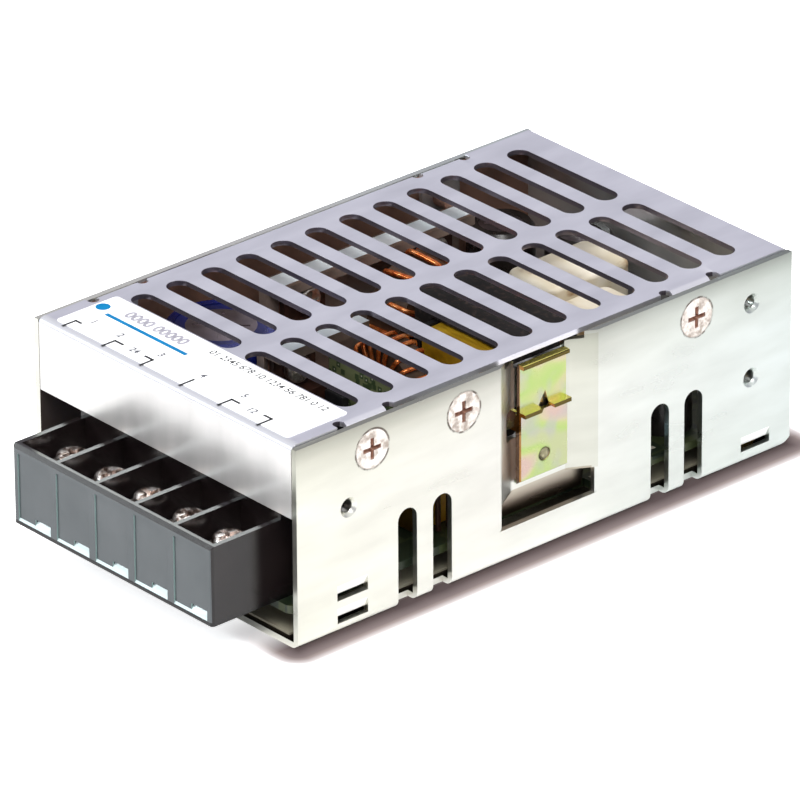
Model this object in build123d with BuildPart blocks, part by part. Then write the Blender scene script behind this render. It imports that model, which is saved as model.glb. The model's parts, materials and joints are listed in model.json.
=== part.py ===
# DC-DC converter in a slotted sheet-metal case, with a barrier terminal block and a rail clip.
# Millimetres. +Z is up, the terminals face -Y and the rail clip faces +X.
# The origin is the middle of the case's underside.
import os

from build123d import *

os.makedirs("parts", exist_ok=True)

# Case
case_length = 120.0
case_width = 72.0
case_height = 40.0
chassis_sheet = 1.2
cover_sheet = 1.0
seam = 0.15
wall_drop = 0.4
fold_radius = 1.8
cover_bend = 1.2

half_length = case_length / 2
half_width = case_width / 2
wall_inside = half_width - chassis_sheet
wall_top = case_height - wall_drop
cover_half_width = wall_inside - seam
cover_underside = case_height - cover_sheet
front = -half_length
rear = half_length

# Slots in the top of the cover, two columns of rows
cover_slot_length = 28.2
cover_slot_width = 4.7
cover_slot_pitch = 8.33
cover_slot_first = 18.8
cover_slot_rear_margin = 9.5
cover_slot_web = 3.4
cover_slot_rows = int((case_length - cover_slot_first - cover_slot_rear_margin) / cover_slot_pitch) + 1
cover_slot_column = cover_slot_length + cover_slot_web
cover_slot_middle = front + cover_slot_first + cover_slot_pitch * (cover_slot_rows - 1) / 2

# Countersunk screws through the side walls
side_screw_drop = 6.0
side_screw_height = case_height - side_screw_drop
front_screw = front + 17.8
rear_screw = rear - 23.8
side_screw_radius = 2.0
side_screw_head_radius = 3.9
side_screw_length = 5.6
screw_fit = 0.05
recess_depth = 1.5
recess_width = 0.85
recess_span = 4.2

# Tabs of the cover, between relief notches
tab_spacing = 11.6
tab_reach = 4.5
tab_bottom = side_screw_height - tab_reach
notch_radius = 1.15
notch_inset = 0.9
edge_setback = 0.8

# Front and rear flanges of the cover
rear_flange_bottom = 0.4

# Side wall details
side_slot_width = 4.5
side_slot_top = 19.4
side_slot_pitch = 8.3
side_slot_pairs = (front + 30.1, rear - 28.6)
side_slot_reach = 2.6
tapped_radius = 1.25
tapped_entry = 0.7
tapped_collar = 1.3
tapped_collar_radius = 2.4
tapped_upper_drop = 7.7
tapped_points = [(front + 12.2, 24.3), (rear - 10.0, 17.2), (rear - 10.0, case_height - tapped_upper_drop)]
louvre_length = 7.2
louvre_sink = 1.0
louvre_fall = 2.1
louvre_gap = 0.9
louvres = [(front + 12.9, 9.5), (front + 12.9, 5.0), (rear - 8.8, 5.6)]
rear_corner_cut = 1.9

# Recess for the mounting rail and the window at its lower end
recess_mouth = 23.4
recess_floor = 13.6
recess_inset = 2.8
recess_drop = 0.8
recess_top = cover_underside - recess_drop
recess_bend = 2.5
mouth_bend = 2.0
floor_face = half_width - recess_inset
floor_back = floor_face - chassis_sheet
window_bottom = 6.9
window_top = 12.0
window_width = 22.6
tongue_width = 22.2
tongue_foot = 7.3
tongue_lean = 0.8
tongue_overlap = 1.5

# Screw that clamps a transistor and its heatsink to the near wall, beside the recess
heatsink_screw_gap = 8.8
heatsink_screw = -recess_mouth / 2 - heatsink_screw_gap

# Rail clip
clip_width = 11.2
clip_sheet = 0.8
clip_drop = 0.6
clip_top = recess_top - clip_drop
clip_lip = 1.0
clip_step_reach = 1.5
clip_step = 28.1
clip_step_drop = 0.8
clip_bottom = 13.4
clip_bottom_turn = 1.0
clip_stand_off = 0.7
clip_dart_width = 3.2
clip_dart_height = 3.4
clip_upper_gap = 0.35
clip_notch_drop = 0.8
clip_notch_gap = 0.6
ear_bottom = 23.9
ear_height = 3.9
ear_hook = 1.0
ear_clearance = 0.4
ear_opening_bottom = 22.8
ear_opening_height = 6.0
hook_opening_end = 8.9
plain_opening_end = 6.4
ear_opening_round = 1.0
rivet_height = 18.2
rivet_radius = 0.75
rivet_head_radius = 1.15
rivet_groove = 0.15
rivet_tail_radius = 1.6
rivet_tail_height = 0.6

# Circuit board and what carries it
board_thickness = 1.6
board_top = 7.4
board_bottom = board_top - board_thickness
board_side_gap = 1.4
board_half_width = wall_inside - board_side_gap
board_front = front + 0.6
board_rear = rear - 3.4
board_notch_gap = 1.0
board_notch_edge = floor_back - board_notch_gap
board_notch_half = 13.0
sheet_thickness = 0.4
sheet_margin = 0.6
standoff_front_x = wall_inside - 6.2
standoff_rear_x = wall_inside - 5.2
standoff_points = [
    (-standoff_front_x, front + 9.6),
    (standoff_front_x, front + 11.4),
    (-standoff_rear_x, rear - 6.4),
    (standoff_rear_x, rear - 6.4),
]
standoff_across = 5.5
standoff_spigot = 2.1
board_screw_radius = 1.5
board_screw_head_radius = 2.8
board_screw_head = 1.9
board_screw_length = 5.0

# Terminal block
terminal_ways = 5
terminal_pitch = 10.8
terminal_wall = 1.0
terminal_middle = 2.4
terminal_front = front - 14.6
terminal_back = front + 7.0
terminal_shoulder = front + 1.5
terminal_height = 15.8
terminal_back_height = 17.8
terminal_front_wall = 1.4
terminal_floor = 8.9
terminal_rim = 0.7
panel_inset = 0.3
panel_margin = 0.8
panel_slope = 0.45
scoop_width = 4.6
scoop_depth = 0.9
scoop_rise = 1.25
scoop_top = 1.9
flange_clearance = 0.4
front_flange_bottom = board_top + terminal_back_height + flange_clearance
terminal_width = terminal_pitch * terminal_ways + terminal_wall
terminal_bay = terminal_pitch - terminal_wall
plate_thickness = 0.8
plate_width = 8.8
plate_front = terminal_front + 2.4
terminal_pin_width = 3.0
terminal_pin_place = terminal_back - 3.0
terminal_pin_end = board_bottom - 1.2
clamp_side = 8.4
clamp_thickness = 0.9
terminal_screw_place = front - 5.3
terminal_screw_radius = 1.75
terminal_screw_head_radius = 3.2
terminal_screw_head = 2.4
terminal_screw_length = 8.0
driver_slot = 1.0
driver_slot_depth = 1.1

# Large capacitor, behind the fuse
sleeve_thickness = 0.25
can_clearance = 0.02
main_can_radius = 10.6
main_can_x = 13.6 - wall_inside
main_can = (main_can_x, front + 31.6, main_can_radius, 25.6)

# Chokes
turn_build = 1.3
turn_clearance = 0.1
output_turn_width = 1.5
input_turn_width = 1.0
output_choke_radius = 11.6
output_choke_bore = 6.4
output_choke_depth = 9.0
output_choke_turns = 20
output_choke_y = 17.8
input_choke_middle = (-2.0, -3.9)
input_choke_radius = 9.2
input_choke_bore = 5.0
input_choke_depth = 6.0
input_choke_turns = 18
choke_base = 1.2

# Heatsinks and the transistors on them
sink_drop = 5.0
sink_top = cover_underside - sink_drop
sink_plate = 2.0
sink_shelf = 6.5
far_sink_gap = 7.0
far_sink_face = far_sink_gap - wall_inside
far_sink_start = front + 48.0
output_can_radius = 6.25
output_can_front = (10.2 - wall_inside, rear - 17.0)
film_box_rear = (1.6, 36.2, 12.6, 20.4, 25.0)
output_can_gap = 0.3
output_can_rear = (
    film_box_rear[0] - film_box_rear[2] / 2 - output_can_gap - output_can_radius - can_clearance - sleeve_thickness,
    rear - 9.1,
)
far_sink_end = output_can_front[1] - output_can_radius - can_clearance - sleeve_thickness - 1.1
mid_sink_gap = 0.83
mid_sink_face = main_can_x + main_can_radius + can_clearance + sleeve_thickness + mid_sink_gap + sink_plate
mid_sink_start = front + 30.0
mid_sink_clearance = 0.3
mid_sink_end = input_choke_middle[1] - input_choke_depth / 2 - turn_clearance - turn_build - mid_sink_clearance
wall_sink_thickness = 3.0
wall_sink_before = 8.5
wall_sink_behind = 6.9
wall_sink_start = heatsink_screw - wall_sink_before
wall_sink_end = heatsink_screw + wall_sink_behind
wall_sink_below = 13.5
wall_sink_bottom = side_screw_height - wall_sink_below
wall_sink_drop = 1.0
wall_sink_top = cover_underside - wall_sink_drop
package_width = 10.0
package_depth = 4.4
package_body = 9.2
package_tab = 6.6
package_tab_depth = 1.3
package_hole = 2.1
package_hole_drop = 2.8
package_gap = 0.6
lead_pitch = 2.54
lead_size = 0.8
lead_setback = 2.6
pad_thickness = 0.3
fixing_radius = 1.5
fixing_head_radius = 2.7
fixing_head = 1.8
fixing_driver_slot = 0.6
fixing_height = sink_top - sink_plate - package_hole_drop - package_gap
rectifier_inset = 8.0
switch_inset = 6.0
clamp_nut_height = 2.4
clamp_nut_across = 7.0
clamp_screw_length = chassis_sheet + wall_sink_thickness + pad_thickness + package_tab_depth + clamp_nut_height

# Transformer
output_choke_gap = 11.6
output_choke_middle = (far_sink_face + output_choke_gap, output_choke_y)
core_gap = 23.2
core_middle = (output_choke_middle[0] + core_gap, 13.2)
core_length = 30.0
core_height = 24.0
core_depth = 13.0
core_leg = 4.0
core_yoke = 5.0
core_foot = 2.0
bobbin_wall = 0.9
bobbin_flange = 1.2
winding_build = 4.4
tape_clearance = 0.2

# Other capacitors
sleeve_turn = 1.2
can_edge = 0.8
vent_depth = 0.3
vent_width = 0.6
output_cans = (
    (*output_can_front, output_can_radius, 22.0),
    (*output_can_rear, output_can_radius, 22.0),
    (24.8, 38.6, 5.0, 20.0),
)
input_can_radius = 5.0
input_can_x = 3.4
input_cans = ((14.0, front + 28.0, input_can_radius, 16.0), (input_can_x, front + 17.4, input_can_radius, 16.0))
film_width = 9.6
film_box = (wall_inside - 12.7, front + 43.8, film_width, 16.8, 12.6)
cream_boxes = (film_box_rear, (14.2, 31.6, 8.6, 12.4, 23.6))
box_round = 1.0
disc_radius = 3.6
disc_thickness = 3.0
disc_leg = 1.6

# Control board and small parts
control_place = front + 41.0
control_gap = 5.9
control_clearance = 0.8
control_start = mid_sink_face + control_gap
control_end = film_box[0] - film_width / 2 - control_clearance
control_height = sink_top - sink_plate - board_top - 0.2
control_thickness = 1.2
chip_margin = 0.6
large_chip = (4.8, 10.0, 12.6)
small_chip = (3.8, 6.2, 15.4)
chip_sizes = (
    (control_start + chip_margin + large_chip[0] / 2, *large_chip),
    (control_end - chip_margin - small_chip[0] / 2, *small_chip),
)
chip_depth = 1.6
coupler_place = (11.2, -7.6)
coupler_size = (4.6, 6.4, 3.4)
fuse_radius = 2.6
fuse_length = 20.0
fuse_cap = 5.0
fuse_rise = 3.6
fuse_gap = 0.4
fuse_end = input_can_x - input_can_radius - can_clearance - sleeve_thickness - fuse_gap
fuse_middle = (fuse_end - fuse_length / 2, front + 14.4)
clip_plate = 0.5
disc_gap = 1.2
safety_discs = (
    (fuse_end - fuse_length - disc_gap - disc_thickness / 2, front + 13.8),
    (19.6, front + 13.8),
)
resistor_rows = ((11.4, front + 13.2), (15.2, front + 13.2), (wall_inside - 5.8, 22.4))
resistor_radius = 1.3
resistor_length = 7.0
resistor_rise = 2.2

# Printed label
label_thickness = 0.12
label_margin = 0.8
label_end = front + 16.0


def side_plane(side, along, up, inset=0.0):
    """Plane on the outer face of a side wall, looking outwards."""
    return Plane(origin=(side * (half_width - inset), along, up), x_dir=(0, side, 0), z_dir=(side, 0, 0))


def recess_section(growth, bottom):
    """Outline of the rail recess from above, grown by the sheet's thickness for its inner face."""
    outside = half_width + recess_inset
    shoulder = recess_mouth / 2 + 2 * mouth_bend
    with BuildSketch(Plane.XY.offset(bottom)) as section:
        with BuildLine():
            Polyline(
                (outside, -shoulder),
                (half_width, -shoulder),
                (half_width, -recess_mouth / 2),
                (floor_face, -recess_floor / 2),
                (floor_face, recess_floor / 2),
                (half_width, recess_mouth / 2),
                (half_width, shoulder),
                (outside, shoulder),
                close=True,
            )
        make_face()
        mouth_corners = [v for v in section.vertices() if abs(abs(v.Y) - recess_mouth / 2) < screw_fit]
        fillet(mouth_corners, mouth_bend)
        fillet(section.vertices().group_by(Axis.X)[0], recess_bend)
        if growth > 0:
            offset(amount=growth, kind=Kind.ARC)
            with Locations((half_width, 0)):
                Rectangle(4 * recess_inset, 4 * shoulder, align=(Align.MIN, Align.CENTER), mode=Mode.SUBTRACT)
    return section.sketch


def hexagon_post(across, height):
    """Hexagonal post standing on the working plane."""
    with BuildPart(mode=Mode.PRIVATE) as post:
        with BuildSketch():
            RegularPolygon(radius=across / 2, side_count=6, major_radius=False)
        extrude(amount=height)
    return post.part


def countersunk_screw(length):
    """Cross-recessed countersunk screw with its head's top on the working plane."""
    head_height = side_screw_head_radius - side_screw_radius
    with BuildPart(mode=Mode.PRIVATE) as screw:
        Cone(side_screw_radius, side_screw_head_radius, head_height, align=(Align.CENTER, Align.CENTER, Align.MAX))
        Cylinder(side_screw_radius, length, align=(Align.CENTER, Align.CENTER, Align.MAX))
        for turn in (0, 90):
            Box(
                recess_span,
                recess_width,
                2 * recess_depth,
                rotation=(0, 0, turn),
                mode=Mode.SUBTRACT,
            )
    return screw.part


def transistor(drop):
    """Tab-mounted transistor, its back on the working plane, its fixing hole at the origin, leads down to drop."""
    body_top = package_hole_drop - package_tab
    body_bottom = body_top - package_body
    with BuildPart(mode=Mode.PRIVATE) as package:
        with BuildSketch() as tab:
            with Locations((0, package_hole_drop)):
                Rectangle(package_width, package_tab + package_body, align=(Align.CENTER, Align.MAX))
            Circle(package_hole, mode=Mode.SUBTRACT)
        extrude(amount=package_tab_depth)
        with BuildSketch():
            with Locations((0, body_top)):
                Rectangle(package_width, package_body, align=(Align.CENTER, Align.MAX))
        extrude(amount=package_depth)
        with Locations(*[(lead_pitch * step, body_bottom, lead_setback) for step in (-1, 0, 1)]):
            Box(lead_size, drop + body_bottom, lead_size, align=(Align.CENTER, Align.MAX, Align.CENTER))
    return package.part


def cross_head_screw(radius, length, head_radius, head, slot):
    """Pan-head screw whose head stands on the working plane."""
    with BuildPart(mode=Mode.PRIVATE) as screw:
        Cylinder(radius, length, align=(Align.CENTER, Align.CENTER, Align.MAX))
        Cylinder(head_radius, head, align=(Align.CENTER, Align.CENTER, Align.MIN))
        fillet(screw.edges().group_by(Axis.Z)[-1], head * 0.4)
        for turn in (0, 90):
            with Locations((0, 0, head)):
                Box(2 * head_radius * 0.72, slot, head, rotation=(0, 0, turn), mode=Mode.SUBTRACT)
    return screw.part


def capacitor_can(radius, height):
    """Aluminium can with a scored vent on top, standing on the working plane."""
    with BuildPart(mode=Mode.PRIVATE) as can:
        Cylinder(radius, height, align=(Align.CENTER, Align.CENTER, Align.MIN))
        chamfer(can.edges().group_by(Axis.Z)[-1], can_edge)
        for turn in (45, 135):
            with Locations((0, 0, height)):
                Box(radius, vent_width, 2 * vent_depth, rotation=(0, 0, turn), mode=Mode.SUBTRACT)
    return can.part


def capacitor_sleeve(radius, height):
    """Shrunk sleeve round a can, turned in over the edge of its top."""
    inside = radius + can_clearance
    outside = inside + sleeve_thickness
    with BuildPart(mode=Mode.PRIVATE) as sleeve:
        with BuildSketch(Plane.XZ):
            with BuildLine():
                Polyline(
                    (inside, 0),
                    (outside, 0),
                    (outside, height - can_edge),
                    (outside - can_edge, height + sleeve_thickness),
                    (radius - can_edge - sleeve_turn, height + sleeve_thickness),
                    (radius - can_edge - sleeve_turn, height + can_clearance),
                    (radius - can_edge + can_clearance, height + can_clearance),
                    (inside, height - can_edge + can_clearance),
                    close=True,
                )
            make_face()
        revolve(axis=Axis.Z)
    return sleeve.part


def ring_core(radius, bore, depth):
    """Ring core with its axis along Z."""
    with BuildPart(mode=Mode.PRIVATE) as core:
        Cylinder(radius, depth)
        Cylinder(bore, depth, mode=Mode.SUBTRACT)
    return core.part


def ring_winding(radius, bore, depth, turns, turn_width):
    """Separate turns of wire round a ring core with its axis along Z."""
    inner_loop = (radius - bore + 2 * turn_clearance, depth + 2 * turn_clearance)
    outer_loop = (inner_loop[0] + 2 * turn_build, inner_loop[1] + 2 * turn_build)
    middle = (radius + bore) / 2
    with BuildPart(mode=Mode.PRIVATE) as winding:
        with PolarLocations(0, turns):
            with Locations((middle, 0, 0)):
                Box(outer_loop[0], turn_width, outer_loop[1])
        with PolarLocations(0, turns):
            with Locations((middle, 0, 0)):
                Box(inner_loop[0], turn_width * 2, inner_loop[1], mode=Mode.SUBTRACT)
    return winding.part


# Chassis: base and two side walls folded from one sheet
recess_cut = recess_section(0, window_bottom)
recess_wall = recess_section(chassis_sheet, window_top)

with BuildPart() as chassis:
    with BuildSketch(Plane.XZ) as channel:
        Rectangle(case_width, wall_top, align=(Align.CENTER, Align.MIN))
        fillet(channel.vertices().group_by(Axis.Y)[0], fold_radius)
        with Locations((0, chassis_sheet)):
            Rectangle(2 * wall_inside, wall_top, align=(Align.CENTER, Align.MIN), mode=Mode.SUBTRACT)
    extrude(amount=half_length, both=True)
    base_end = rear - cover_sheet - seam
    with Locations((0, base_end, 0)):
        Box(2 * wall_inside, case_length, chassis_sheet, align=(Align.CENTER, Align.MIN, Align.MIN), mode=Mode.SUBTRACT)
    # Low lip at the rear of the base
    lip_height = 8.0
    lip_width = 2 * (wall_inside - 3.0)
    with BuildSketch(Plane.YZ) as lip:
        with Locations((base_end, 0)):
            Rectangle(4 * chassis_sheet, lip_height, align=(Align.MAX, Align.MIN))
        fillet(lip.vertices().group_by(Axis.Y)[0].sort_by(Axis.X)[-1], fold_radius)
        with Locations((base_end - chassis_sheet, chassis_sheet)):
            Rectangle(4 * chassis_sheet, lip_height, align=(Align.MAX, Align.MIN), mode=Mode.SUBTRACT)
    extrude(amount=lip_width / 2, both=True)
    # Rail recess pressed into the near wall, and the window below it
    extrude(recess_wall, amount=recess_top - window_top)
    extrude(recess_cut, amount=wall_top, mode=Mode.SUBTRACT)
    with Locations((half_width, 0, window_bottom)):
        Box(
            2 * recess_inset,
            window_width,
            window_top - window_bottom,
            align=(Align.CENTER, Align.CENTER, Align.MIN),
            mode=Mode.SUBTRACT,
        )
    # Tongue that leans inwards behind the window
    with BuildSketch(Plane.XZ):
        with BuildLine():
            Polyline(
                (floor_face, window_top),
                (floor_face, window_top + tongue_overlap),
                (floor_back, window_top + tongue_overlap),
                (floor_back - tongue_lean, tongue_foot),
                (floor_face - tongue_lean, tongue_foot),
                close=True,
            )
        make_face()
    extrude(amount=tongue_width / 2, both=True)
    # Openings for the clip's ears, the wider one for the ear with the hook
    opening_start = clip_width / 2 - clip_sheet - ear_clearance
    with BuildSketch(Plane.YZ.offset(half_width)):
        for low, high in ((-hook_opening_end, -opening_start), (opening_start, plain_opening_end)):
            with Locations(((low + high) / 2, ear_opening_bottom + ear_opening_height / 2)):
                RectangleRounded(high - low, ear_opening_height, min(ear_opening_round, (high - low) / 3))
    extrude(amount=-2 * (recess_inset + chassis_sheet), mode=Mode.SUBTRACT)
    # Notch in the recess floor behind the clip's lip
    with Locations((floor_face, 0, clip_top - clip_notch_drop)):
        Box(
            4 * chassis_sheet,
            clip_width + 2 * clip_notch_gap,
            case_height,
            align=(Align.CENTER, Align.CENTER, Align.MIN),
            mode=Mode.SUBTRACT,
        )
    with Locations((floor_face, 0, rivet_height)):
        Cylinder(rivet_radius + screw_fit, 4 * chassis_sheet, rotation=(0, 90, 0), mode=Mode.SUBTRACT)
    # Upright vent slots that run out through the bottom folds
    for side in (-1, 1):
        with BuildSketch(side_plane(side, 0, 0, side_slot_reach)):
            for pair in side_slot_pairs:
                with Locations((side * pair, 0)):
                    with GridLocations(side_slot_pitch, 1, 2, 1):
                        SlotOverall(2 * side_slot_top, side_slot_width, rotation=90)
        extrude(amount=2 * side_slot_reach, mode=Mode.SUBTRACT)
    # Louvres lanced in the near wall, each strip pressed inwards above its opening
    for along, up in louvres:
        with Locations((half_width, along, up)):
            Box(
                4 * chassis_sheet,
                louvre_length,
                louvre_fall + louvre_gap,
                align=(Align.CENTER, Align.CENTER, Align.MAX),
                mode=Mode.SUBTRACT,
            )
        with BuildSketch(Plane.XZ.offset(-along)):
            with BuildLine():
                Polyline(
                    (half_width, up),
                    (half_width - louvre_sink, up - louvre_fall),
                    (wall_inside - louvre_sink, up - louvre_fall),
                    (wall_inside, up),
                    close=True,
                )
            make_face()
        extrude(amount=louvre_length / 2, both=True)
    # Countersunk holes
    for side in (-1, 1):
        with Locations(*[side_plane(side, along, side_screw_height) for along in (front_screw, rear_screw)]):
            CounterSinkHole(side_screw_radius + screw_fit, side_screw_head_radius + screw_fit, 3 * chassis_sheet, 90)
    with Locations(side_plane(1, heatsink_screw, side_screw_height)):
        CounterSinkHole(side_screw_radius + screw_fit, side_screw_head_radius + screw_fit, 3 * chassis_sheet, 90)
    # Tapped holes with collars drawn inwards
    for along, up in tapped_points:
        with Locations(side_plane(1, along, up, chassis_sheet)):
            Cylinder(tapped_collar_radius, tapped_collar, align=(Align.CENTER, Align.CENTER, Align.MAX))
        with Locations(side_plane(1, along, up)):
            CounterSinkHole(tapped_radius, tapped_radius + tapped_entry, 3 * chassis_sheet, 90)
    # Holes for the standoffs' spigots
    with Locations(*standoff_points):
        Hole(standoff_spigot + screw_fit)
    # Cut corners at the rear ends of the bottom folds
    with BuildSketch(Plane.YZ):
        with BuildLine():
            Polyline((rear, 0), (rear, rear_corner_cut), (rear - rear_corner_cut, 0), close=True)
        make_face()
    extrude(amount=half_width, both=True, mode=Mode.SUBTRACT)
chassis.part.label = "chassis"
export_step(chassis.part, "parts/chassis.step")

# Top cover: slotted top, short front flange, full rear flange and four tabs
with BuildPart() as top_cover:
    with BuildSketch(Plane.YZ) as profile:
        with Locations((0, case_height)):
            Rectangle(case_length, case_height - rear_flange_bottom, align=(Align.CENTER, Align.MAX))
        fillet(profile.vertices().group_by(Axis.Y)[-1], cover_bend)
        with Locations((0, cover_underside)):
            Rectangle(case_length - 2 * cover_sheet, case_height, align=(Align.CENTER, Align.MAX), mode=Mode.SUBTRACT)
        with Locations((front, front_flange_bottom)):
            Rectangle(4 * cover_sheet, case_height, align=(Align.CENTER, Align.MAX), mode=Mode.SUBTRACT)
    extrude(amount=cover_half_width, both=True)
    # The edges stand back between the tabs, for the rail clip and for air
    setback_length = rear_screw - front_screw - tab_spacing
    for side in (-1, 1):
        with Locations((side * cover_half_width, (front_screw + rear_screw) / 2, case_height)):
            Box(2 * edge_setback, setback_length, 4 * cover_sheet, mode=Mode.SUBTRACT)
    notch_points = []
    for side in (-1, 1):
        for screw_place in (front_screw, rear_screw):
            for end in (-1, 1):
                notch_points.append((side * cover_half_width, screw_place + end * tab_spacing / 2))
    with BuildSketch(Plane.XY.offset(case_height)):
        with Locations(*notch_points):
            SlotCenterToCenter(2 * notch_inset, 2 * notch_radius)
    extrude(amount=-2 * cover_sheet, mode=Mode.SUBTRACT)
    # Tabs that carry the side screws
    tab_width = tab_spacing - 2 * notch_radius
    tab_root = 2 * cover_bend
    for side in (-1, 1):
        outwards = Align.MAX if side > 0 else Align.MIN
        for screw_place in (front_screw, rear_screw):
            with Locations((side * cover_half_width, screw_place, case_height)):
                Box(
                    tab_root,
                    tab_width,
                    2 * cover_sheet,
                    align=(outwards, Align.CENTER, Align.CENTER),
                    mode=Mode.SUBTRACT,
                )
            with BuildSketch(Plane.XZ.offset(-screw_place)) as tab:
                with Locations((side * cover_half_width, case_height)):
                    Rectangle(tab_root, case_height - tab_bottom, align=(outwards, Align.MAX))
                fillet(tab.vertices().group_by(Axis.Y)[-1].sort_by(Axis.X)[0 if side < 0 else -1], cover_bend)
                with Locations((side * (cover_half_width - cover_sheet), cover_underside)):
                    Rectangle(tab_root, case_height, align=(outwards, Align.MAX), mode=Mode.SUBTRACT)
            extrude(amount=tab_width / 2, both=True)
            with Locations(side_plane(side, screw_place, side_screw_height)):
                CounterSinkHole(
                    side_screw_radius + screw_fit,
                    side_screw_head_radius + screw_fit,
                    3 * chassis_sheet,
                    90,
                )
    # Two columns of air slots
    with BuildSketch(Plane.XY.offset(case_height)):
        with Locations((0, cover_slot_middle)):
            with GridLocations(cover_slot_column, cover_slot_pitch, 2, cover_slot_rows):
                SlotOverall(cover_slot_length, cover_slot_width)
    extrude(amount=-2 * cover_sheet, mode=Mode.SUBTRACT)
top_cover.part.label = "top_cover"
export_step(top_cover.part, "parts/top_cover.step")

# Label stuck on the cover in front of the slots
with BuildPart() as cover_label:
    label_start = front + cover_bend + label_margin / 2
    with BuildSketch(Plane.XY.offset(case_height)) as sticker:
        with Locations((0, label_start)):
            Rectangle(
                2 * (cover_half_width - notch_inset - notch_radius - label_margin),
                label_end - label_start,
                align=(Align.CENTER, Align.MIN),
            )
        fillet(sticker.vertices(), label_margin)
    extrude(amount=label_thickness)
cover_label.part.label = "cover_label"
export_step(cover_label.part, "parts/cover_label.step")

# Countersunk screws that hold the cover
with BuildPart() as cover_screws:
    for side in (-1, 1):
        for screw_place in (front_screw, rear_screw):
            with Locations(side_plane(side, screw_place, side_screw_height)):
                add(countersunk_screw(side_screw_length))
cover_screws.part.label = "cover_screws"
export_step(cover_screws.part, "parts/cover_screws.step")

# Countersunk screw that holds the wall heatsink
with BuildPart() as heatsink_wall_screw:
    with Locations(side_plane(1, heatsink_screw, side_screw_height)):
        add(countersunk_screw(clamp_screw_length))
heatsink_wall_screw.part.label = "heatsink_wall_screw"
export_step(heatsink_wall_screw.part, "parts/heatsink_wall_screw.step")

# Rail clip formed from spring strip
with BuildPart() as rail_clip:
    upper_back = floor_face + clip_upper_gap
    upper_face = upper_back + clip_sheet
    lower_back = floor_face + clip_stand_off
    lower_face = lower_back + clip_sheet
    lip_face = upper_face + clip_lip
    step_face = upper_face + clip_step_reach
    with BuildSketch(Plane.XZ):
        with BuildLine():
            Polyline(
                (upper_back, clip_top),
                (lip_face, clip_top),
                (lip_face, clip_top - clip_sheet),
                (upper_face, clip_top - clip_sheet),
                (upper_face, clip_step),
                (step_face, clip_step),
                (step_face, clip_step - clip_step_drop),
                (lower_face, clip_step - clip_step_drop),
                (lower_face, clip_bottom + clip_bottom_turn),
                (floor_face + clip_sheet / 4, clip_bottom),
                (floor_face + clip_sheet / 4, clip_bottom + clip_sheet),
                (lower_back, clip_bottom + clip_bottom_turn + clip_sheet / 2),
                (lower_back, clip_step - clip_step_drop),
                (upper_back, clip_step - clip_step_drop),
                close=True,
            )
        make_face()
    extrude(amount=clip_width / 2, both=True)
    # Sides turned back to stand on the recess floor, each with an ear that goes through it
    return_height = clip_step - clip_step_drop - clip_bottom - clip_bottom_turn
    ear_back = floor_back - ear_clearance
    for side in (-1, 1):
        edge_align = Align.MAX if side > 0 else Align.MIN
        with Locations((floor_face, side * clip_width / 2, clip_bottom + clip_bottom_turn)):
            Box(
                clip_stand_off + clip_sheet,
                clip_sheet,
                return_height,
                align=(Align.MIN, edge_align, Align.MIN),
            )
        with Locations((floor_face, side * clip_width / 2, ear_bottom)):
            Box(
                floor_face - ear_back + clip_sheet,
                clip_sheet,
                ear_height,
                align=(Align.MAX, edge_align, Align.MIN),
            )
    with Locations((ear_back, clip_sheet - clip_width / 2, ear_bottom)):
        Box(clip_sheet, ear_hook + clip_sheet, ear_height, align=(Align.MAX, Align.MAX, Align.MIN))
    # Dart pressed into the middle of the step
    with BuildSketch(Plane.YZ.offset(step_face)):
        with BuildLine():
            Polyline(
                (-clip_dart_width / 2, clip_step - clip_step_drop),
                (clip_dart_width / 2, clip_step - clip_step_drop),
                (clip_dart_width / 6, clip_step + clip_dart_height - clip_step_drop),
                close=True,
            )
        make_face()
    extrude(amount=floor_face - step_face, mode=Mode.SUBTRACT)
    with Locations(Plane(origin=(lower_face, 0, rivet_height), z_dir=(1, 0, 0))):
        CounterSinkHole(rivet_radius + screw_fit, rivet_head_radius + rivet_groove, 2 * clip_sheet, 90)
    fillet(rail_clip.edges().filter_by(Axis.Y).filter_by_position(Axis.Z, clip_top - screw_fit, clip_top + screw_fit), 0.3)
rail_clip.part.label = "rail_clip"
export_step(rail_clip.part, "parts/rail_clip.step")

# Rivet through the clip and the recess floor
with BuildPart() as clip_rivet:
    with Locations(Plane(origin=(lower_face, 0, rivet_height), z_dir=(1, 0, 0))):
        Cone(
            rivet_radius,
            rivet_head_radius,
            rivet_head_radius - rivet_radius,
            align=(Align.CENTER, Align.CENTER, Align.MAX),
        )
        Cylinder(rivet_radius, lower_face - floor_back, align=(Align.CENTER, Align.CENTER, Align.MAX))
    with Locations(Plane(origin=(floor_back, 0, rivet_height), z_dir=(1, 0, 0))):
        Cylinder(rivet_tail_radius, rivet_tail_height, align=(Align.CENTER, Align.CENTER, Align.MAX))
clip_rivet.part.label = "clip_rivet"
export_step(clip_rivet.part, "parts/clip_rivet.step")

# Insulating sheet on the base, under the board
with BuildPart() as insulating_sheet:
    with BuildSketch(Plane.XY.offset(chassis_sheet)):
        sheet_width = 2 * (wall_inside - side_slot_reach)
        with Locations((0, (board_front + board_rear) / 2)):
            Rectangle(sheet_width, board_rear - board_front - 2 * sheet_margin)
        with Locations(*standoff_points):
            Circle(standoff_across / 2 + 2 * sheet_margin, mode=Mode.SUBTRACT)
    extrude(amount=sheet_thickness)
insulating_sheet.part.label = "insulating_sheet"
export_step(insulating_sheet.part, "parts/insulating_sheet.step")

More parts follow.
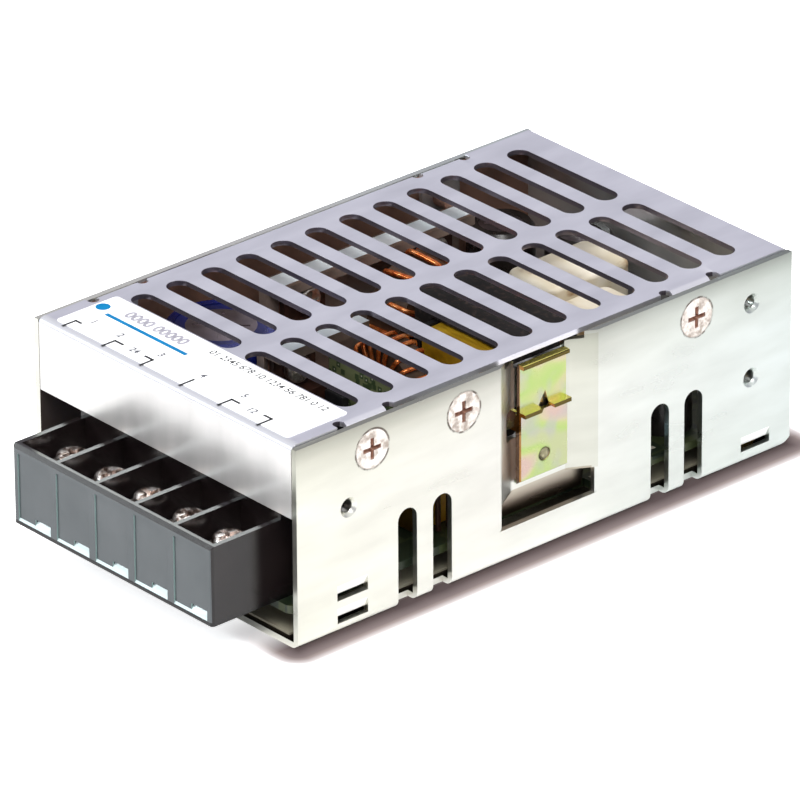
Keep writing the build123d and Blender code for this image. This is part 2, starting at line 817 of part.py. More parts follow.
# Threaded standoffs pressed into the base
with BuildPart() as board_standoffs:
    with Locations(*[(x, y, chassis_sheet) for x, y in standoff_points]):
        add(hexagon_post(standoff_across, board_bottom - chassis_sheet))
    with Locations(*standoff_points):
        Cylinder(standoff_spigot, chassis_sheet, align=(Align.CENTER, Align.CENTER, Align.MIN))
    with Locations(*[(x, y, board_bottom) for x, y in standoff_points]):
        Hole(board_screw_radius + screw_fit, depth=board_screw_length)
board_standoffs.part.label = "board_standoffs"
export_step(board_standoffs.part, "parts/board_standoffs.step")

# Screws that hold the board down
with BuildPart() as board_screws:
    with Locations(*[(x, y, board_top) for x, y in standoff_points]):
        add(
            cross_head_screw(
                board_screw_radius,
                board_screw_length,
                board_screw_head_radius,
                board_screw_head,
                driver_slot * 0.7,
            )
        )
board_screws.part.label = "board_screws"
export_step(board_screws.part, "parts/board_screws.step")

# Circuit board
terminal_places = [terminal_middle + terminal_pitch * (way - (terminal_ways - 1) / 2) for way in range(terminal_ways)]
with BuildPart() as circuit_board:
    with BuildSketch(Plane.XY.offset(board_bottom)) as outline:
        with Locations((0, (board_front + board_rear) / 2)):
            Rectangle(2 * board_half_width, board_rear - board_front)
        fillet(outline.vertices(), board_thickness)
        with Locations((board_half_width, 0)):
            Rectangle(
                2 * (board_half_width - board_notch_edge),
                2 * board_notch_half,
                mode=Mode.SUBTRACT,
            )
        with Locations(*standoff_points):
            Circle(board_screw_radius + 4 * screw_fit, mode=Mode.SUBTRACT)
        with Locations(*[(place, terminal_pin_place) for place in terminal_places]):
            Rectangle(terminal_pin_width + 8 * screw_fit, plate_thickness + 8 * screw_fit, mode=Mode.SUBTRACT)
    extrude(amount=board_thickness)
circuit_board.part.label = "circuit_board"
export_step(circuit_board.part, "parts/circuit_board.step")

# Terminal plates with their solder pins
plate_bottom = board_top + terminal_floor
with BuildPart() as terminal_plates:
    for place in terminal_places:
        with Locations((place, plate_front, plate_bottom)):
            Box(
                plate_width,
                terminal_shoulder - plate_front,
                plate_thickness,
                align=(Align.CENTER, Align.MIN, Align.MIN),
            )
        with Locations((place, terminal_pin_place + plate_thickness / 2, plate_bottom)):
            Box(
                terminal_pin_width,
                terminal_pin_place - terminal_shoulder + plate_thickness,
                plate_thickness,
                align=(Align.CENTER, Align.MAX, Align.MIN),
            )
            Box(
                terminal_pin_width,
                plate_thickness,
                plate_bottom - terminal_pin_end,
                align=(Align.CENTER, Align.MAX, Align.MAX),
            )
        with Locations((place, terminal_screw_place, plate_bottom + plate_thickness)):
            Hole(terminal_screw_radius + screw_fit, depth=2 * plate_thickness)
terminal_plates.part.label = "terminal_plates"
export_step(terminal_plates.part, "parts/terminal_plates.step")

# Terminal block moulding
with BuildPart() as terminal_block:
    with Locations((terminal_middle, terminal_front, board_top)):
        Box(
            terminal_width,
            terminal_back - terminal_front,
            terminal_height,
            align=(Align.CENTER, Align.MIN, Align.MIN),
        )
    with Locations((terminal_middle, terminal_shoulder, board_top)):
        Box(
            terminal_width,
            terminal_back - terminal_shoulder,
            terminal_back_height,
            align=(Align.CENTER, Align.MIN, Align.MIN),
        )
    chamfer(
        terminal_block.edges()
        .filter_by(Axis.X)
        .filter_by_position(Axis.Y, terminal_front - screw_fit, terminal_front + screw_fit)
        .sort_by(Axis.Z)[-1],
        terminal_rim,
    )
    fillet(
        terminal_block.edges()
        .filter_by(Axis.Z)
        .filter_by_position(Axis.Y, terminal_front - screw_fit, terminal_front + screw_fit),
        terminal_rim,
    )
    for place in terminal_places:
        # Bay, open at the top
        with Locations((place, terminal_front + terminal_front_wall, board_top + terminal_floor)):
            Box(
                terminal_bay,
                terminal_shoulder - terminal_front - terminal_front_wall,
                terminal_height,
                align=(Align.CENTER, Align.MIN, Align.MIN),
                mode=Mode.SUBTRACT,
            )
        # Sunk panel on the front, between ribs, its lower edge sloping outwards
        panel_foot = board_top + panel_margin
        panel_head = board_top + terminal_height - terminal_rim - panel_margin
        panel_side = (terminal_bay - panel_margin) / 2
        with BuildSketch(Plane.YZ.offset(place)):
            with BuildLine():
                Polyline(
                    (terminal_front, panel_foot),
                    (terminal_front + panel_inset, panel_foot + panel_slope),
                    (terminal_front + panel_inset, panel_head),
                    (terminal_front, panel_head),
                    close=True,
                )
            make_face()
        extrude(amount=panel_side, both=True, mode=Mode.SUBTRACT)
        # Hollow with a sloping floor at the foot of the panel
        with BuildSketch(Plane.YZ.offset(place + panel_side)):
            with BuildLine():
                Polyline(
                    (terminal_front, panel_foot),
                    (terminal_front + scoop_depth, panel_foot + scoop_rise),
                    (terminal_front, panel_foot + scoop_top),
                    close=True,
                )
            make_face()
        extrude(amount=-scoop_width, mode=Mode.SUBTRACT)
        with Locations((place, terminal_screw_place, board_top + terminal_floor)):
            Hole(terminal_screw_radius + 2 * screw_fit, depth=terminal_screw_length)
    add(terminal_plates.part, mode=Mode.SUBTRACT)
terminal_block.part.label = "terminal_block"
export_step(terminal_block.part, "parts/terminal_block.step")

# Square clamp washers under the terminal screws
clamp_bottom = plate_bottom + plate_thickness
with BuildPart() as clamp_washers:
    with BuildSketch(Plane.XY.offset(clamp_bottom)):
        with Locations(*[(place, terminal_screw_place) for place in terminal_places]):
            RectangleRounded(clamp_side, clamp_side, clamp_thickness / 2)
            Circle(terminal_screw_radius + screw_fit, mode=Mode.SUBTRACT)
    extrude(amount=clamp_thickness)
clamp_washers.part.label = "clamp_washers"
export_step(clamp_washers.part, "parts/clamp_washers.step")

# Terminal screws
with BuildPart() as terminal_screws:
    with Locations(*[(place, terminal_screw_place, clamp_bottom + clamp_thickness) for place in terminal_places]):
        add(
            cross_head_screw(
                terminal_screw_radius,
                terminal_screw_length,
                terminal_screw_head_radius,
                terminal_screw_head,
                driver_slot,
            )
        )
terminal_screws.part.label = "terminal_screws"
export_step(terminal_screws.part, "parts/terminal_screws.step")


def board_heatsink(face, start, end):
    """Upright plate with a shelf folded over at the top, its transistor face at x = face."""
    with BuildPart(mode=Mode.PRIVATE) as sink:
        with BuildSketch(Plane.XZ.offset(-start)) as section:
            with Locations((face, board_top)):
                Rectangle(sink_plate, sink_top - board_top, align=(Align.MAX, Align.MIN))
            with Locations((face - sink_plate, sink_top)):
                Rectangle(sink_shelf, sink_plate, align=(Align.MIN, Align.MAX))
            fillet(section.vertices().group_by(Axis.Y)[-1].sort_by(Axis.X)[0], sink_plate / 2)
        extrude(amount=start - end)
    return sink.part


# Heatsinks
with BuildPart() as output_heatsink:
    add(board_heatsink(far_sink_face, far_sink_start, far_sink_end))
output_heatsink.part.label = "output_heatsink"
export_step(output_heatsink.part, "parts/output_heatsink.step")

with BuildPart() as input_heatsink:
    add(board_heatsink(mid_sink_face, mid_sink_start, mid_sink_end))
input_heatsink.part.label = "input_heatsink"
export_step(input_heatsink.part, "parts/input_heatsink.step")

wall_sink_face = wall_inside - wall_sink_thickness
with BuildPart() as wall_heatsink:
    with Locations((wall_inside, wall_sink_start, wall_sink_bottom)):
        Box(
            wall_sink_thickness,
            wall_sink_end - wall_sink_start,
            wall_sink_top - wall_sink_bottom,
            align=(Align.MAX, Align.MIN, Align.MIN),
        )
    with Locations(side_plane(1, heatsink_screw, side_screw_height)):
        CounterSinkHole(side_screw_radius + screw_fit, side_screw_head_radius + screw_fit, 2 * side_screw_length, 90)
wall_heatsink.part.label = "wall_heatsink"
export_step(wall_heatsink.part, "parts/wall_heatsink.step")

# Transistors on the heatsinks, each over an insulating pad


def package_plane(face, along, up, side):
    """Plane on a heatsink face where a transistor's back lies, its leads pointing down."""
    return Plane(origin=(face + side * pad_thickness, along, up), x_dir=(0, side, 0), z_dir=(side, 0, 0))


rectifier_places = (far_sink_start + rectifier_inset, far_sink_end - rectifier_inset)
switch_places = (mid_sink_start + switch_inset,)
board_packages = [package_plane(far_sink_face, place, fixing_height, 1) for place in rectifier_places]
switch_packages = [package_plane(mid_sink_face, place, fixing_height, 1) for place in switch_places]
wall_package = package_plane(wall_sink_face, heatsink_screw, side_screw_height, -1)
board_drop = fixing_height - board_top
wall_package_drop = side_screw_height - board_top

with BuildPart() as output_rectifiers:
    with Locations(*board_packages):
        add(transistor(board_drop))
output_rectifiers.part.label = "output_rectifiers"
export_step(output_rectifiers.part, "parts/output_rectifiers.step")

with BuildPart() as switching_transistors:
    with Locations(*switch_packages):
        add(transistor(board_drop))
    with Locations(wall_package):
        add(transistor(wall_package_drop))
switching_transistors.part.label = "switching_transistors"
export_step(switching_transistors.part, "parts/switching_transistors.step")

with BuildPart() as insulating_pads:
    for plane in board_packages + switch_packages + [wall_package]:
        with BuildSketch(plane):
            with Locations((0, package_hole_drop)):
                Rectangle(package_width, package_tab + package_body, align=(Align.CENTER, Align.MAX))
            Circle(package_hole, mode=Mode.SUBTRACT)
        extrude(amount=-pad_thickness)
insulating_pads.part.label = "insulating_pads"
export_step(insulating_pads.part, "parts/insulating_pads.step")

# Screws that press the transistors to the heatsinks, and the nut of the one on the wall
with BuildPart() as transistor_screws:
    for plane in board_packages + switch_packages:
        with Locations(plane.offset(package_tab_depth)):
            add(
                cross_head_screw(
                    fixing_radius,
                    package_tab_depth + pad_thickness,
                    fixing_head_radius,
                    fixing_head,
                    fixing_driver_slot,
                )
            )
transistor_screws.part.label = "transistor_screws"
export_step(transistor_screws.part, "parts/transistor_screws.step")

with BuildPart() as clamp_nut:
    with Locations(wall_package.offset(package_tab_depth)):
        add(hexagon_post(clamp_nut_across, clamp_nut_height))
        Hole(side_screw_radius + screw_fit, depth=2 * clamp_nut_height)
clamp_nut.part.label = "clamp_nut"
export_step(clamp_nut.part, "parts/clamp_nut.step")

# Transformer: two core halves round a bobbin
core_x, core_y = core_middle
core_bottom = board_top + core_foot
core_centre_height = core_bottom + core_height / 2
window_length = core_length - 2 * core_yoke
window_height = (core_height - 4 * core_leg) / 2
with BuildPart() as transformer_core:
    with BuildSketch(Plane.XZ.offset(-core_y)):
        with Locations((core_x, core_centre_height)):
            Rectangle(core_length, core_height)
        for level in (-1, 1):
            with Locations((core_x, core_centre_height + level * (core_leg + window_height / 2))):
                Rectangle(window_length, window_height, mode=Mode.SUBTRACT)
    extrude(amount=core_depth / 2, both=True)
transformer_core.part.label = "transformer_core"
export_step(transformer_core.part, "parts/transformer_core.step")

bobbin_hole = (core_depth + 2 * tape_clearance, 2 * core_leg + 2 * tape_clearance)
bobbin_tube = (bobbin_hole[0] + 2 * bobbin_wall, bobbin_hole[1] + 2 * bobbin_wall)
bobbin_length = window_length - 2 * tape_clearance
winding_end = (core_depth + 2 * winding_build, 2 * core_leg + 2 * window_height - 2 * tape_clearance)
with BuildPart() as transformer_bobbin:
    with BuildSketch(Plane.YZ.offset(core_x)):
        with Locations((core_y, core_centre_height)):
            Rectangle(*bobbin_tube)
    extrude(amount=bobbin_length / 2, both=True)
    for end in (-1, 1):
        with BuildSketch(Plane.YZ.offset(core_x + end * bobbin_length / 2)):
            with Locations((core_y, core_centre_height)):
                RectangleRounded(*winding_end, bobbin_flange)
        extrude(amount=-end * bobbin_flange)
    with BuildSketch(Plane.YZ.offset(core_x)):
        with Locations((core_y, core_centre_height)):
            Rectangle(*bobbin_hole)
    extrude(amount=bobbin_length, both=True, mode=Mode.SUBTRACT)
    # Feet that stand the transformer on the board
    for end in (-1, 1):
        for row in (-1, 1):
            foot_x = core_x + end * (bobbin_length / 2 - bobbin_flange / 2)
            foot_y = core_y + row * (winding_end[0] / 2 - 2 * bobbin_flange)
            with Locations((foot_x, foot_y, board_top)):
                Box(
                    bobbin_flange,
                    2 * bobbin_flange,
                    core_centre_height - winding_end[1] / 2 + bobbin_flange - board_top,
                    align=(Align.CENTER, Align.CENTER, Align.MIN),
                )
transformer_bobbin.part.label = "transformer_bobbin"
export_step(transformer_bobbin.part, "parts/transformer_bobbin.step")

with BuildPart() as transformer_winding:
    winding_length = bobbin_length - 2 * bobbin_flange - 2 * tape_clearance
    with BuildSketch(Plane.YZ.offset(core_x)):
        with Locations((core_y, core_centre_height)):
            RectangleRounded(winding_end[0] - 2 * tape_clearance, winding_end[1] - 2 * tape_clearance, winding_build / 2)
            Rectangle(*bobbin_tube, mode=Mode.SUBTRACT)
    extrude(amount=winding_length / 2, both=True)
transformer_winding.part.label = "transformer_winding"
export_step(transformer_winding.part, "parts/transformer_winding.step")


def choke_height(radius):
    """Height of an upright ring choke's axis above the board."""
    return board_top + choke_base + radius + turn_clearance + turn_build


def choke_plane(middle, radius, facing):
    """Plane through the middle of an upright ring choke, its axis along facing."""
    return Plane(origin=(middle[0], middle[1], choke_height(radius)), x_dir=(0, 0, 1), z_dir=facing)


along_x = (1, 0, 0)
along_y = (0, 1, 0)
output_choke_plane = choke_plane(output_choke_middle, output_choke_radius, along_x)
input_choke_plane = choke_plane(input_choke_middle, input_choke_radius, along_y)

with BuildPart() as output_choke_core:
    with Locations(output_choke_plane):
        add(ring_core(output_choke_radius, output_choke_bore, output_choke_depth))
output_choke_core.part.label = "output_choke_core"
export_step(output_choke_core.part, "parts/output_choke_core.step")

with BuildPart() as output_choke_winding:
    with Locations(output_choke_plane):
        add(
            ring_winding(
                output_choke_radius,
                output_choke_bore,
                output_choke_depth,
                output_choke_turns,
                output_turn_width,
            )
        )
output_choke_winding.part.label = "output_choke_winding"
export_step(output_choke_winding.part, "parts/output_choke_winding.step")

with BuildPart() as input_choke_core:
    with Locations(input_choke_plane):
        add(ring_core(input_choke_radius, input_choke_bore, input_choke_depth))
input_choke_core.part.label = "input_choke_core"
export_step(input_choke_core.part, "parts/input_choke_core.step")

with BuildPart() as input_choke_winding:
    with Locations(input_choke_plane):
        add(
            ring_winding(
                input_choke_radius,
                input_choke_bore,
                input_choke_depth,
                input_choke_turns,
                input_turn_width,
            )
        )
input_choke_winding.part.label = "input_choke_winding"
export_step(input_choke_winding.part, "parts/input_choke_winding.step")

# Bases that the chokes stand on
with BuildPart() as choke_bases:
    with Locations((*output_choke_middle, board_top)):
        Box(
            output_choke_depth + 2 * turn_build + 2 * turn_clearance,
            output_choke_radius,
            choke_base,
            align=(Align.CENTER, Align.CENTER, Align.MIN),
        )
    with Locations((*input_choke_middle, board_top)):
        Box(
            input_choke_radius,
            input_choke_depth + 2 * turn_build + 2 * turn_clearance,
            choke_base,
            align=(Align.CENTER, Align.CENTER, Align.MIN),
        )
choke_bases.part.label = "choke_bases"
export_step(choke_bases.part, "parts/choke_bases.step")

# Electrolytic capacitors: cans and sleeves
all_cans = {"main": (main_can,), "output": output_cans, "input": input_cans}
for group, cans in all_cans.items():
    with BuildPart() as can_group:
        for x, y, radius, height in cans:
            with Locations((x, y, board_top)):
                add(capacitor_can(radius, height))
    can_group.part.label = f"{group}_capacitor_cans"
    export_step(can_group.part, f"parts/{group}_capacitor_cans.step")
    with BuildPart() as sleeve_group:
        for x, y, radius, height in cans:
            with Locations((x, y, board_top)):
                add(capacitor_sleeve(radius, height))
    sleeve_group.part.label = f"{group}_capacitor_sleeves"
    export_step(sleeve_group.part, f"parts/{group}_capacitor_sleeves.step")

# Box film capacitors
with BuildPart() as film_capacitor:
    x, y, size_x, size_y, size_z = film_box
    with Locations((x, y, board_top)):
        Box(size_x, size_y, size_z, align=(Align.CENTER, Align.CENTER, Align.MIN))
    fillet(film_capacitor.edges().filter_by(GeomType.LINE).group_by(Axis.Z)[-1], box_round)
film_capacitor.part.label = "film_capacitor"
export_step(film_capacitor.part, "parts/film_capacitor.step")

with BuildPart() as output_film_capacitors:
    for x, y, size_x, size_y, size_z in cream_boxes:
        with BuildSketch(Plane.XY.offset(board_top)):
            with Locations((x, y)):
                RectangleRounded(size_x, size_y, 2 * box_round)
        extrude(amount=size_z)
    fillet(output_film_capacitors.faces().filter_by(Axis.Z).group_by(Axis.Z)[-1].edges(), box_round)
    fillet(output_film_capacitors.faces().filter_by(Axis.Z).group_by(Axis.Z)[-2].edges(), box_round)
output_film_capacitors.part.label = "output_film_capacitors"
export_step(output_film_capacitors.part, "parts/output_film_capacitors.step")

# Disc capacitors between the case and the supply lines
with BuildPart() as safety_capacitors:
    for x, y in safety_discs:
        with Locations((x, y, board_top + disc_leg + disc_radius)):
            Cylinder(disc_radius, disc_thickness, rotation=(0, 90, 0))
        for step in (-1, 1):
            with Locations((x, y + step * disc_radius / 2, board_top)):
                Box(lead_size, lead_size, disc_leg + disc_radius, align=(Align.CENTER, Align.CENTER, Align.MIN))
safety_capacitors.part.label = "safety_capacitors"
export_step(safety_capacitors.part, "parts/safety_capacitors.step")

# Upright control board and its chips
with BuildPart() as control_board:
    with Locations((control_start, control_place, board_top)):
        Box(
            control_end - control_start,
            control_thickness,
            control_height,
            align=(Align.MIN, Align.CENTER, Align.MIN),
        )
control_board.part.label = "control_board"
export_step(control_board.part, "parts/control_board.step")

with BuildPart() as control_chips:
    for x, size_x, size_z, z in chip_sizes:
        with Locations((x, control_place - control_thickness / 2, board_top + z)):
            Box(size_x, chip_depth, size_z, align=(Align.CENTER, Align.MAX, Align.CENTER))
control_chips.part.label = "control_chips"
export_step(control_chips.part, "parts/control_chips.step")

with BuildPart() as optocoupler:
    with Locations((*coupler_place, board_top)):
        Box(*coupler_size, align=(Align.CENTER, Align.CENTER, Align.MIN))
    chamfer(optocoupler.edges().group_by(Axis.Z)[-1], lead_size / 2)
optocoupler.part.label = "optocoupler"
export_step(optocoupler.part, "parts/optocoupler.step")

# Fuse in two spring clips
fuse_axis = board_top + fuse_rise
with BuildPart() as fuse_body:
    with Locations((*fuse_middle, fuse_axis)):
        Cylinder(fuse_radius - sleeve_thickness, fuse_length, rotation=(0, 90, 0))
fuse_body.part.label = "fuse_body"
export_step(fuse_body.part, "parts/fuse_body.step")

with BuildPart() as fuse_caps:
    for end in (-1, 1):
        with Locations((fuse_middle[0] + end * (fuse_length - fuse_cap) / 2, fuse_middle[1], fuse_axis)):
            Cylinder(fuse_radius, fuse_cap, rotation=(0, 90, 0))
    add(fuse_body.part, mode=Mode.SUBTRACT)
fuse_caps.part.label = "fuse_caps"
export_step(fuse_caps.part, "parts/fuse_caps.step")

with BuildPart() as fuse_clips:
    for end in (-1, 1):
        clip_x = fuse_middle[0] + end * (fuse_length - fuse_cap) / 2
        with Locations((clip_x, fuse_middle[1], board_top)):
            Box(
                fuse_cap - clip_plate,
                2 * (fuse_radius + clip_plate),
                clip_plate,
                align=(Align.CENTER, Align.CENTER, Align.MIN),
            )
        for side in (-1, 1):
            with Locations((clip_x, fuse_middle[1] + side * (fuse_radius + clip_plate / 2), board_top)):
                Box(
                    fuse_cap - clip_plate,
                    clip_plate,
                    fuse_rise + fuse_radius / 2,
                    align=(Align.CENTER, Align.CENTER, Align.MIN),
                )
fuse_clips.part.label = "fuse_clips"
export_step(fuse_clips.part, "parts/fuse_clips.step")

# Resistors on bent leads
with BuildPart() as power_resistors:
    for x, y in resistor_rows:
        with Locations((x, y, board_top + resistor_rise)):
            Cylinder(resistor_radius, resistor_length, rotation=(90, 0, 0))
        for end in (-1, 1):
            with Locations((x, y + end * (resistor_length / 2 - lead_size), board_top)):
                Box(lead_size, lead_size, resistor_rise, align=(Align.CENTER, Align.CENTER, Align.MIN))
power_resistors.part.label = "power_resistors"
export_step(power_resistors.part, "parts/power_resistors.step")
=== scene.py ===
import json
import math
import random

import bpy
from mathutils import Matrix, Vector


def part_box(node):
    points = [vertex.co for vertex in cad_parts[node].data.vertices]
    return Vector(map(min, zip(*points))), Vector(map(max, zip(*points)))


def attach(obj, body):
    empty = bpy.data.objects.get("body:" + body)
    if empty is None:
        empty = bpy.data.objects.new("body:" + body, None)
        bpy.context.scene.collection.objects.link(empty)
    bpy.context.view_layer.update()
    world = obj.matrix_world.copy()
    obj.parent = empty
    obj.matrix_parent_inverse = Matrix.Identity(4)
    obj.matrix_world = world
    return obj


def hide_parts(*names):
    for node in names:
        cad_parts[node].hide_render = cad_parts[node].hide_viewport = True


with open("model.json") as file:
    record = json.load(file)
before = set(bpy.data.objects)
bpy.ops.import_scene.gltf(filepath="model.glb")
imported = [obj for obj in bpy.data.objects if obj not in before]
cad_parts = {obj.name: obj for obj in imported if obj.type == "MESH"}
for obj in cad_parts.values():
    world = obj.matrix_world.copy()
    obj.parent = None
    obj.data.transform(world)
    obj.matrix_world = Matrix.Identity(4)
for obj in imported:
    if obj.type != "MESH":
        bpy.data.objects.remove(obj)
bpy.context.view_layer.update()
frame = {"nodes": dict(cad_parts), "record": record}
scene = bpy.context.scene
parts = frame["nodes"]
MM = 0.001


def corners_of(node):
    """Lowest and highest corner of a CAD node in millimetres."""
    return [[round(value / MM, 3) for value in corner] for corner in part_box(node)]


def middle_of(node):
    """Centre of a CAD node in millimetres."""
    low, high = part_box(node)
    return [(a + b) / 2 / MM for a, b in zip(low, high)]


# Driving sizes from the frame, in millimetres
(far_side, front, _), (near_side, rear, wall_top) = corners_of("chassis")
cover_top = corners_of("top_cover")[1][2]
(block_left, block_front, block_foot), (block_right, _, block_top) = corners_of("terminal_block")
(sink_far, _, _), (sink_near, _, _) = corners_of("output_heatsink")
yellow_front = corners_of("film_capacitor")[0][1]
can_middle = middle_of("main_capacitor_cans")
rivet = middle_of("clip_rivet")[1:]

# Screws in the walls, as (y, z) in millimetres
screw_height = cover_top - 6.0
wall_screws = [(front + 17.8, screw_height), (rear - 23.8, screw_height)]
heatsink_screw = [(-20.5, screw_height)]
seat_radius = 4.0
head_radius = 3.85
seam_width = 0.24


def to_linear(code):
    """Turns an sRGB hex colour into linear RGBA."""
    channels = [int(code[i:i + 2], 16) / 255 for i in (1, 3, 5)]
    return tuple(c / 12.92 if c <= 0.04045 else ((c + 0.055) / 1.055) ** 2.4 for c in channels) + (1.0,)


def add(tree, kind, inputs=None, stops=(), **settings):
    """Adds a shader node with its settings.

    inputs maps a socket to a value or to the socket that feeds it.
    stops are the (position, sRGB hex) pairs of a colour ramp."""
    made = tree.nodes.new("ShaderNode" + kind)
    for key, value in settings.items():
        setattr(made, key, value)
    for key, value in (inputs or {}).items():
        if isinstance(value, bpy.types.NodeSocket):
            tree.links.new(value, made.inputs[key])
        else:
            made.inputs[key].default_value = value
    for index, (position, code) in enumerate(stops):
        elements = made.color_ramp.elements
        element = elements[index] if index < len(elements) else elements.new(1.0)
        element.position = position
        element.color = to_linear(code)
    return made


def pattern(tree, size_mm, stretch=(1, 1, 1), detail=3.0, rough=0.5):
    """Noise in the object's own coordinates with a feature size in millimetres."""
    place = add(tree, "TexCoord").outputs["Object"]
    spread = add(tree, "Mapping", {"Vector": place, "Scale": [1 / (size_mm * MM * s) for s in stretch]})
    made = add(tree, "TexNoise", {
        "Vector": spread.outputs["Vector"], "Scale": 1.0, "Detail": detail, "Roughness": rough})
    return made.outputs["Fac"]


def place_in(tree):
    """Place on the object, one socket an axis."""
    return add(tree, "SeparateXYZ", {"Vector": add(tree, "TexCoord").outputs["Object"]}).outputs


def shader_of(made):
    """The one surface shader of a material."""
    return made.node_tree.nodes["Principled BSDF"]


def surface(name, stops, size_mm, rough, metallic=0.0, bump_mm=0.0, stretch=(1, 1, 1), **extra):
    """Material with a mottled colour, an uneven gloss and a fine relief.

    size_mm is how far the mottling reaches on the real piece. The real relief is finer than a pixel,
    so it is drawn at an eighth of that size, as coarse as it has to be to show."""
    made = bpy.data.materials.new(name)
    made.use_nodes = True
    tree = made.node_tree
    shader = shader_of(made)
    noise = pattern(tree, size_mm, stretch)
    tree.links.new(add(tree, "ValToRGB", {"Fac": noise}, stops).outputs["Color"], shader.inputs["Base Color"])
    gloss = add(tree, "MapRange", {"Value": noise, "To Min": rough[0], "To Max": rough[1]})
    tree.links.new(gloss.outputs["Result"], shader.inputs["Roughness"])
    shader.inputs["Metallic"].default_value = metallic
    if bump_mm:
        grain = pattern(tree, size_mm / 8, stretch, detail=5.0)
        bump = add(tree, "Bump", {"Height": grain, "Distance": bump_mm * MM, "Strength": 1.0})
        tree.links.new(bump.outputs["Normal"], shader.inputs["Normal"])
    for key, value in extra.items():
        shader.inputs[key.replace("_", " ")].default_value = value
    return made


def recolour(made, factor, other, blend="MIX"):
    """Lays another colour over a material's own as far as factor says."""
    tree = made.node_tree
    base = shader_of(made).inputs["Base Color"]
    both = add(
        tree, "Mix", {"Factor": factor, "A": base.links[0].from_socket, "B": other},
        data_type="RGBA", blend_type=blend)
    tree.links.new(both.outputs["Result"], base)


def near_half(tree, near_only):
    """1 on the near half of the part and 0 on the far half, or 1 everywhere."""
    if not near_only:
        return 1.0
    return add(tree, "Math", {0: place_in(tree)["X"], 1: 0.0}, operation="GREATER_THAN").outputs[0]


def graded(made, axis, low_mm, high_mm, stops, near_only=False):
    """Multiplies a material's colour by a ramp along one axis of the object."""
    tree = made.node_tree
    spread = add(tree, "MapRange", {
        "Value": place_in(tree)[axis], "From Min": low_mm * MM, "From Max": high_mm * MM})
    shade = add(tree, "ValToRGB", {"Fac": spread.outputs["Result"]}, stops)
    recolour(made, near_half(tree, near_only), shade.outputs["Color"], "MULTIPLY")


def ringed(made, centres_mm, radius_mm, width_mm, code, near_only=False):
    """Paints a thin broken ring of shade round each (y, z) centre, in the seam between a head and its seat.
    """
    tree = made.node_tree
    side_on = add(
        tree, "VectorMath", {0: add(tree, "TexCoord").outputs["Object"], 1: (0, 1, 1)}, operation="MULTIPLY")
    nearest = None
    for y, z in centres_mm:
        away = add(
            tree, "VectorMath", {0: side_on.outputs["Vector"], 1: (0, y * MM, z * MM)}, operation="DISTANCE")
        off = add(tree, "Math", {0: away.outputs["Value"], 1: radius_mm * MM}, operation="SUBTRACT")
        size = add(tree, "Math", {0: off.outputs[0]}, operation="ABSOLUTE").outputs[0]
        nearest = size if nearest is None else add(
            tree, "Math", {0: nearest, 1: size}, operation="MINIMUM").outputs[0]
    broken = add(tree, "MapRange", {
        "Value": pattern(tree, size_mm=1.6), "From Min": 0.42, "From Max": 0.56, "To Min": 0.15,
        "To Max": 1.0})
    fade = add(tree, "MapRange", {
        "Value": nearest, "From Min": 0.0, "From Max": width_mm * MM, "To Min": broken.outputs["Result"],
        "To Max": 0.0})
    factor = add(
        tree, "Math", {0: fade.outputs["Result"], 1: near_half(tree, near_only)}, operation="MULTIPLY")
    recolour(made, factor.outputs[0], to_linear(code))


def between(tree, value, low, high):
    """1 where a value lies between low and high, otherwise 0."""
    above = add(tree, "Math", {0: value, 1: low}, operation="GREATER_THAN").outputs[0]
    below = add(tree, "Math", {0: value, 1: high}, operation="LESS_THAN").outputs[0]
    return add(tree, "Math", {0: above, 1: below}, operation="MULTIPLY").outputs[0]


def patch(made, colour, blend="MULTIPLY", metallic=None, **limits):
    """Recolours the part of a material inside limits on place (X, Y, Z in mm) and facing (NX, NY, NZ).

    colour is a hex value, a socket, or a list of stops that is spread over the Z limits."""
    tree = made.node_tree
    place = place_in(tree)
    facing = add(tree, "SeparateXYZ", {"Vector": add(tree, "NewGeometry").outputs["True Normal"]}).outputs
    factor = None
    for key, (low, high) in limits.items():
        if key[0] == "N":
            inside = between(tree, facing[key[1]], low, high)
        else:
            inside = between(tree, place[key], low * MM, high * MM)
        factor = inside if factor is None else add(
            tree, "Math", {0: factor, 1: inside}, operation="MULTIPLY").outputs[0]
    if isinstance(colour, list):
        spread = add(tree, "MapRange", {
            "Value": place["Z"], "From Min": limits["Z"][0] * MM, "From Max": limits["Z"][1] * MM})
        colour = add(tree, "ValToRGB", {"Fac": spread.outputs["Result"]}, colour).outputs["Color"]
    elif isinstance(colour, str):
        colour = to_linear(colour)
    recolour(made, factor, colour, blend)
    if metallic is not None:
        metal = shader_of(made).inputs["Metallic"]
        usual = metal.links[0].from_socket if metal.is_linked else metal.default_value
        change = add(tree, "MapRange", {"Value": factor, "To Min": usual, "To Max": metallic})
        tree.links.new(change.outputs["Result"], metal)


def laminate(name, base, track, size_mm):
    """Glass epoxy board with a maze of tracks under lacquer and small solder pads, all satin."""
    made = surface(name, base, 12, (0.3, 0.45), bump_mm=0.01)
    tree = made.node_tree
    grid = add(tree, "Mapping", {
        "Vector": add(tree, "TexCoord").outputs["Object"], "Scale": [1 / (size_mm * MM)] * 3})
    maze = add(
        tree, "TexVoronoi", {"Vector": grid.outputs["Vector"], "Scale": 1.0}, feature="F1",
        distance="CHEBYCHEV").outputs["Distance"]
    tracks = add(tree, "Math", {0: maze, 1: 0.42}, operation="GREATER_THAN")
    pads = add(tree, "Math", {0: maze, 1: 0.12}, operation="LESS_THAN")
    recolour(made, tracks.outputs[0], to_linear(track))
    recolour(made, pads.outputs[0], to_linear("#b9b4a6"))
    return made


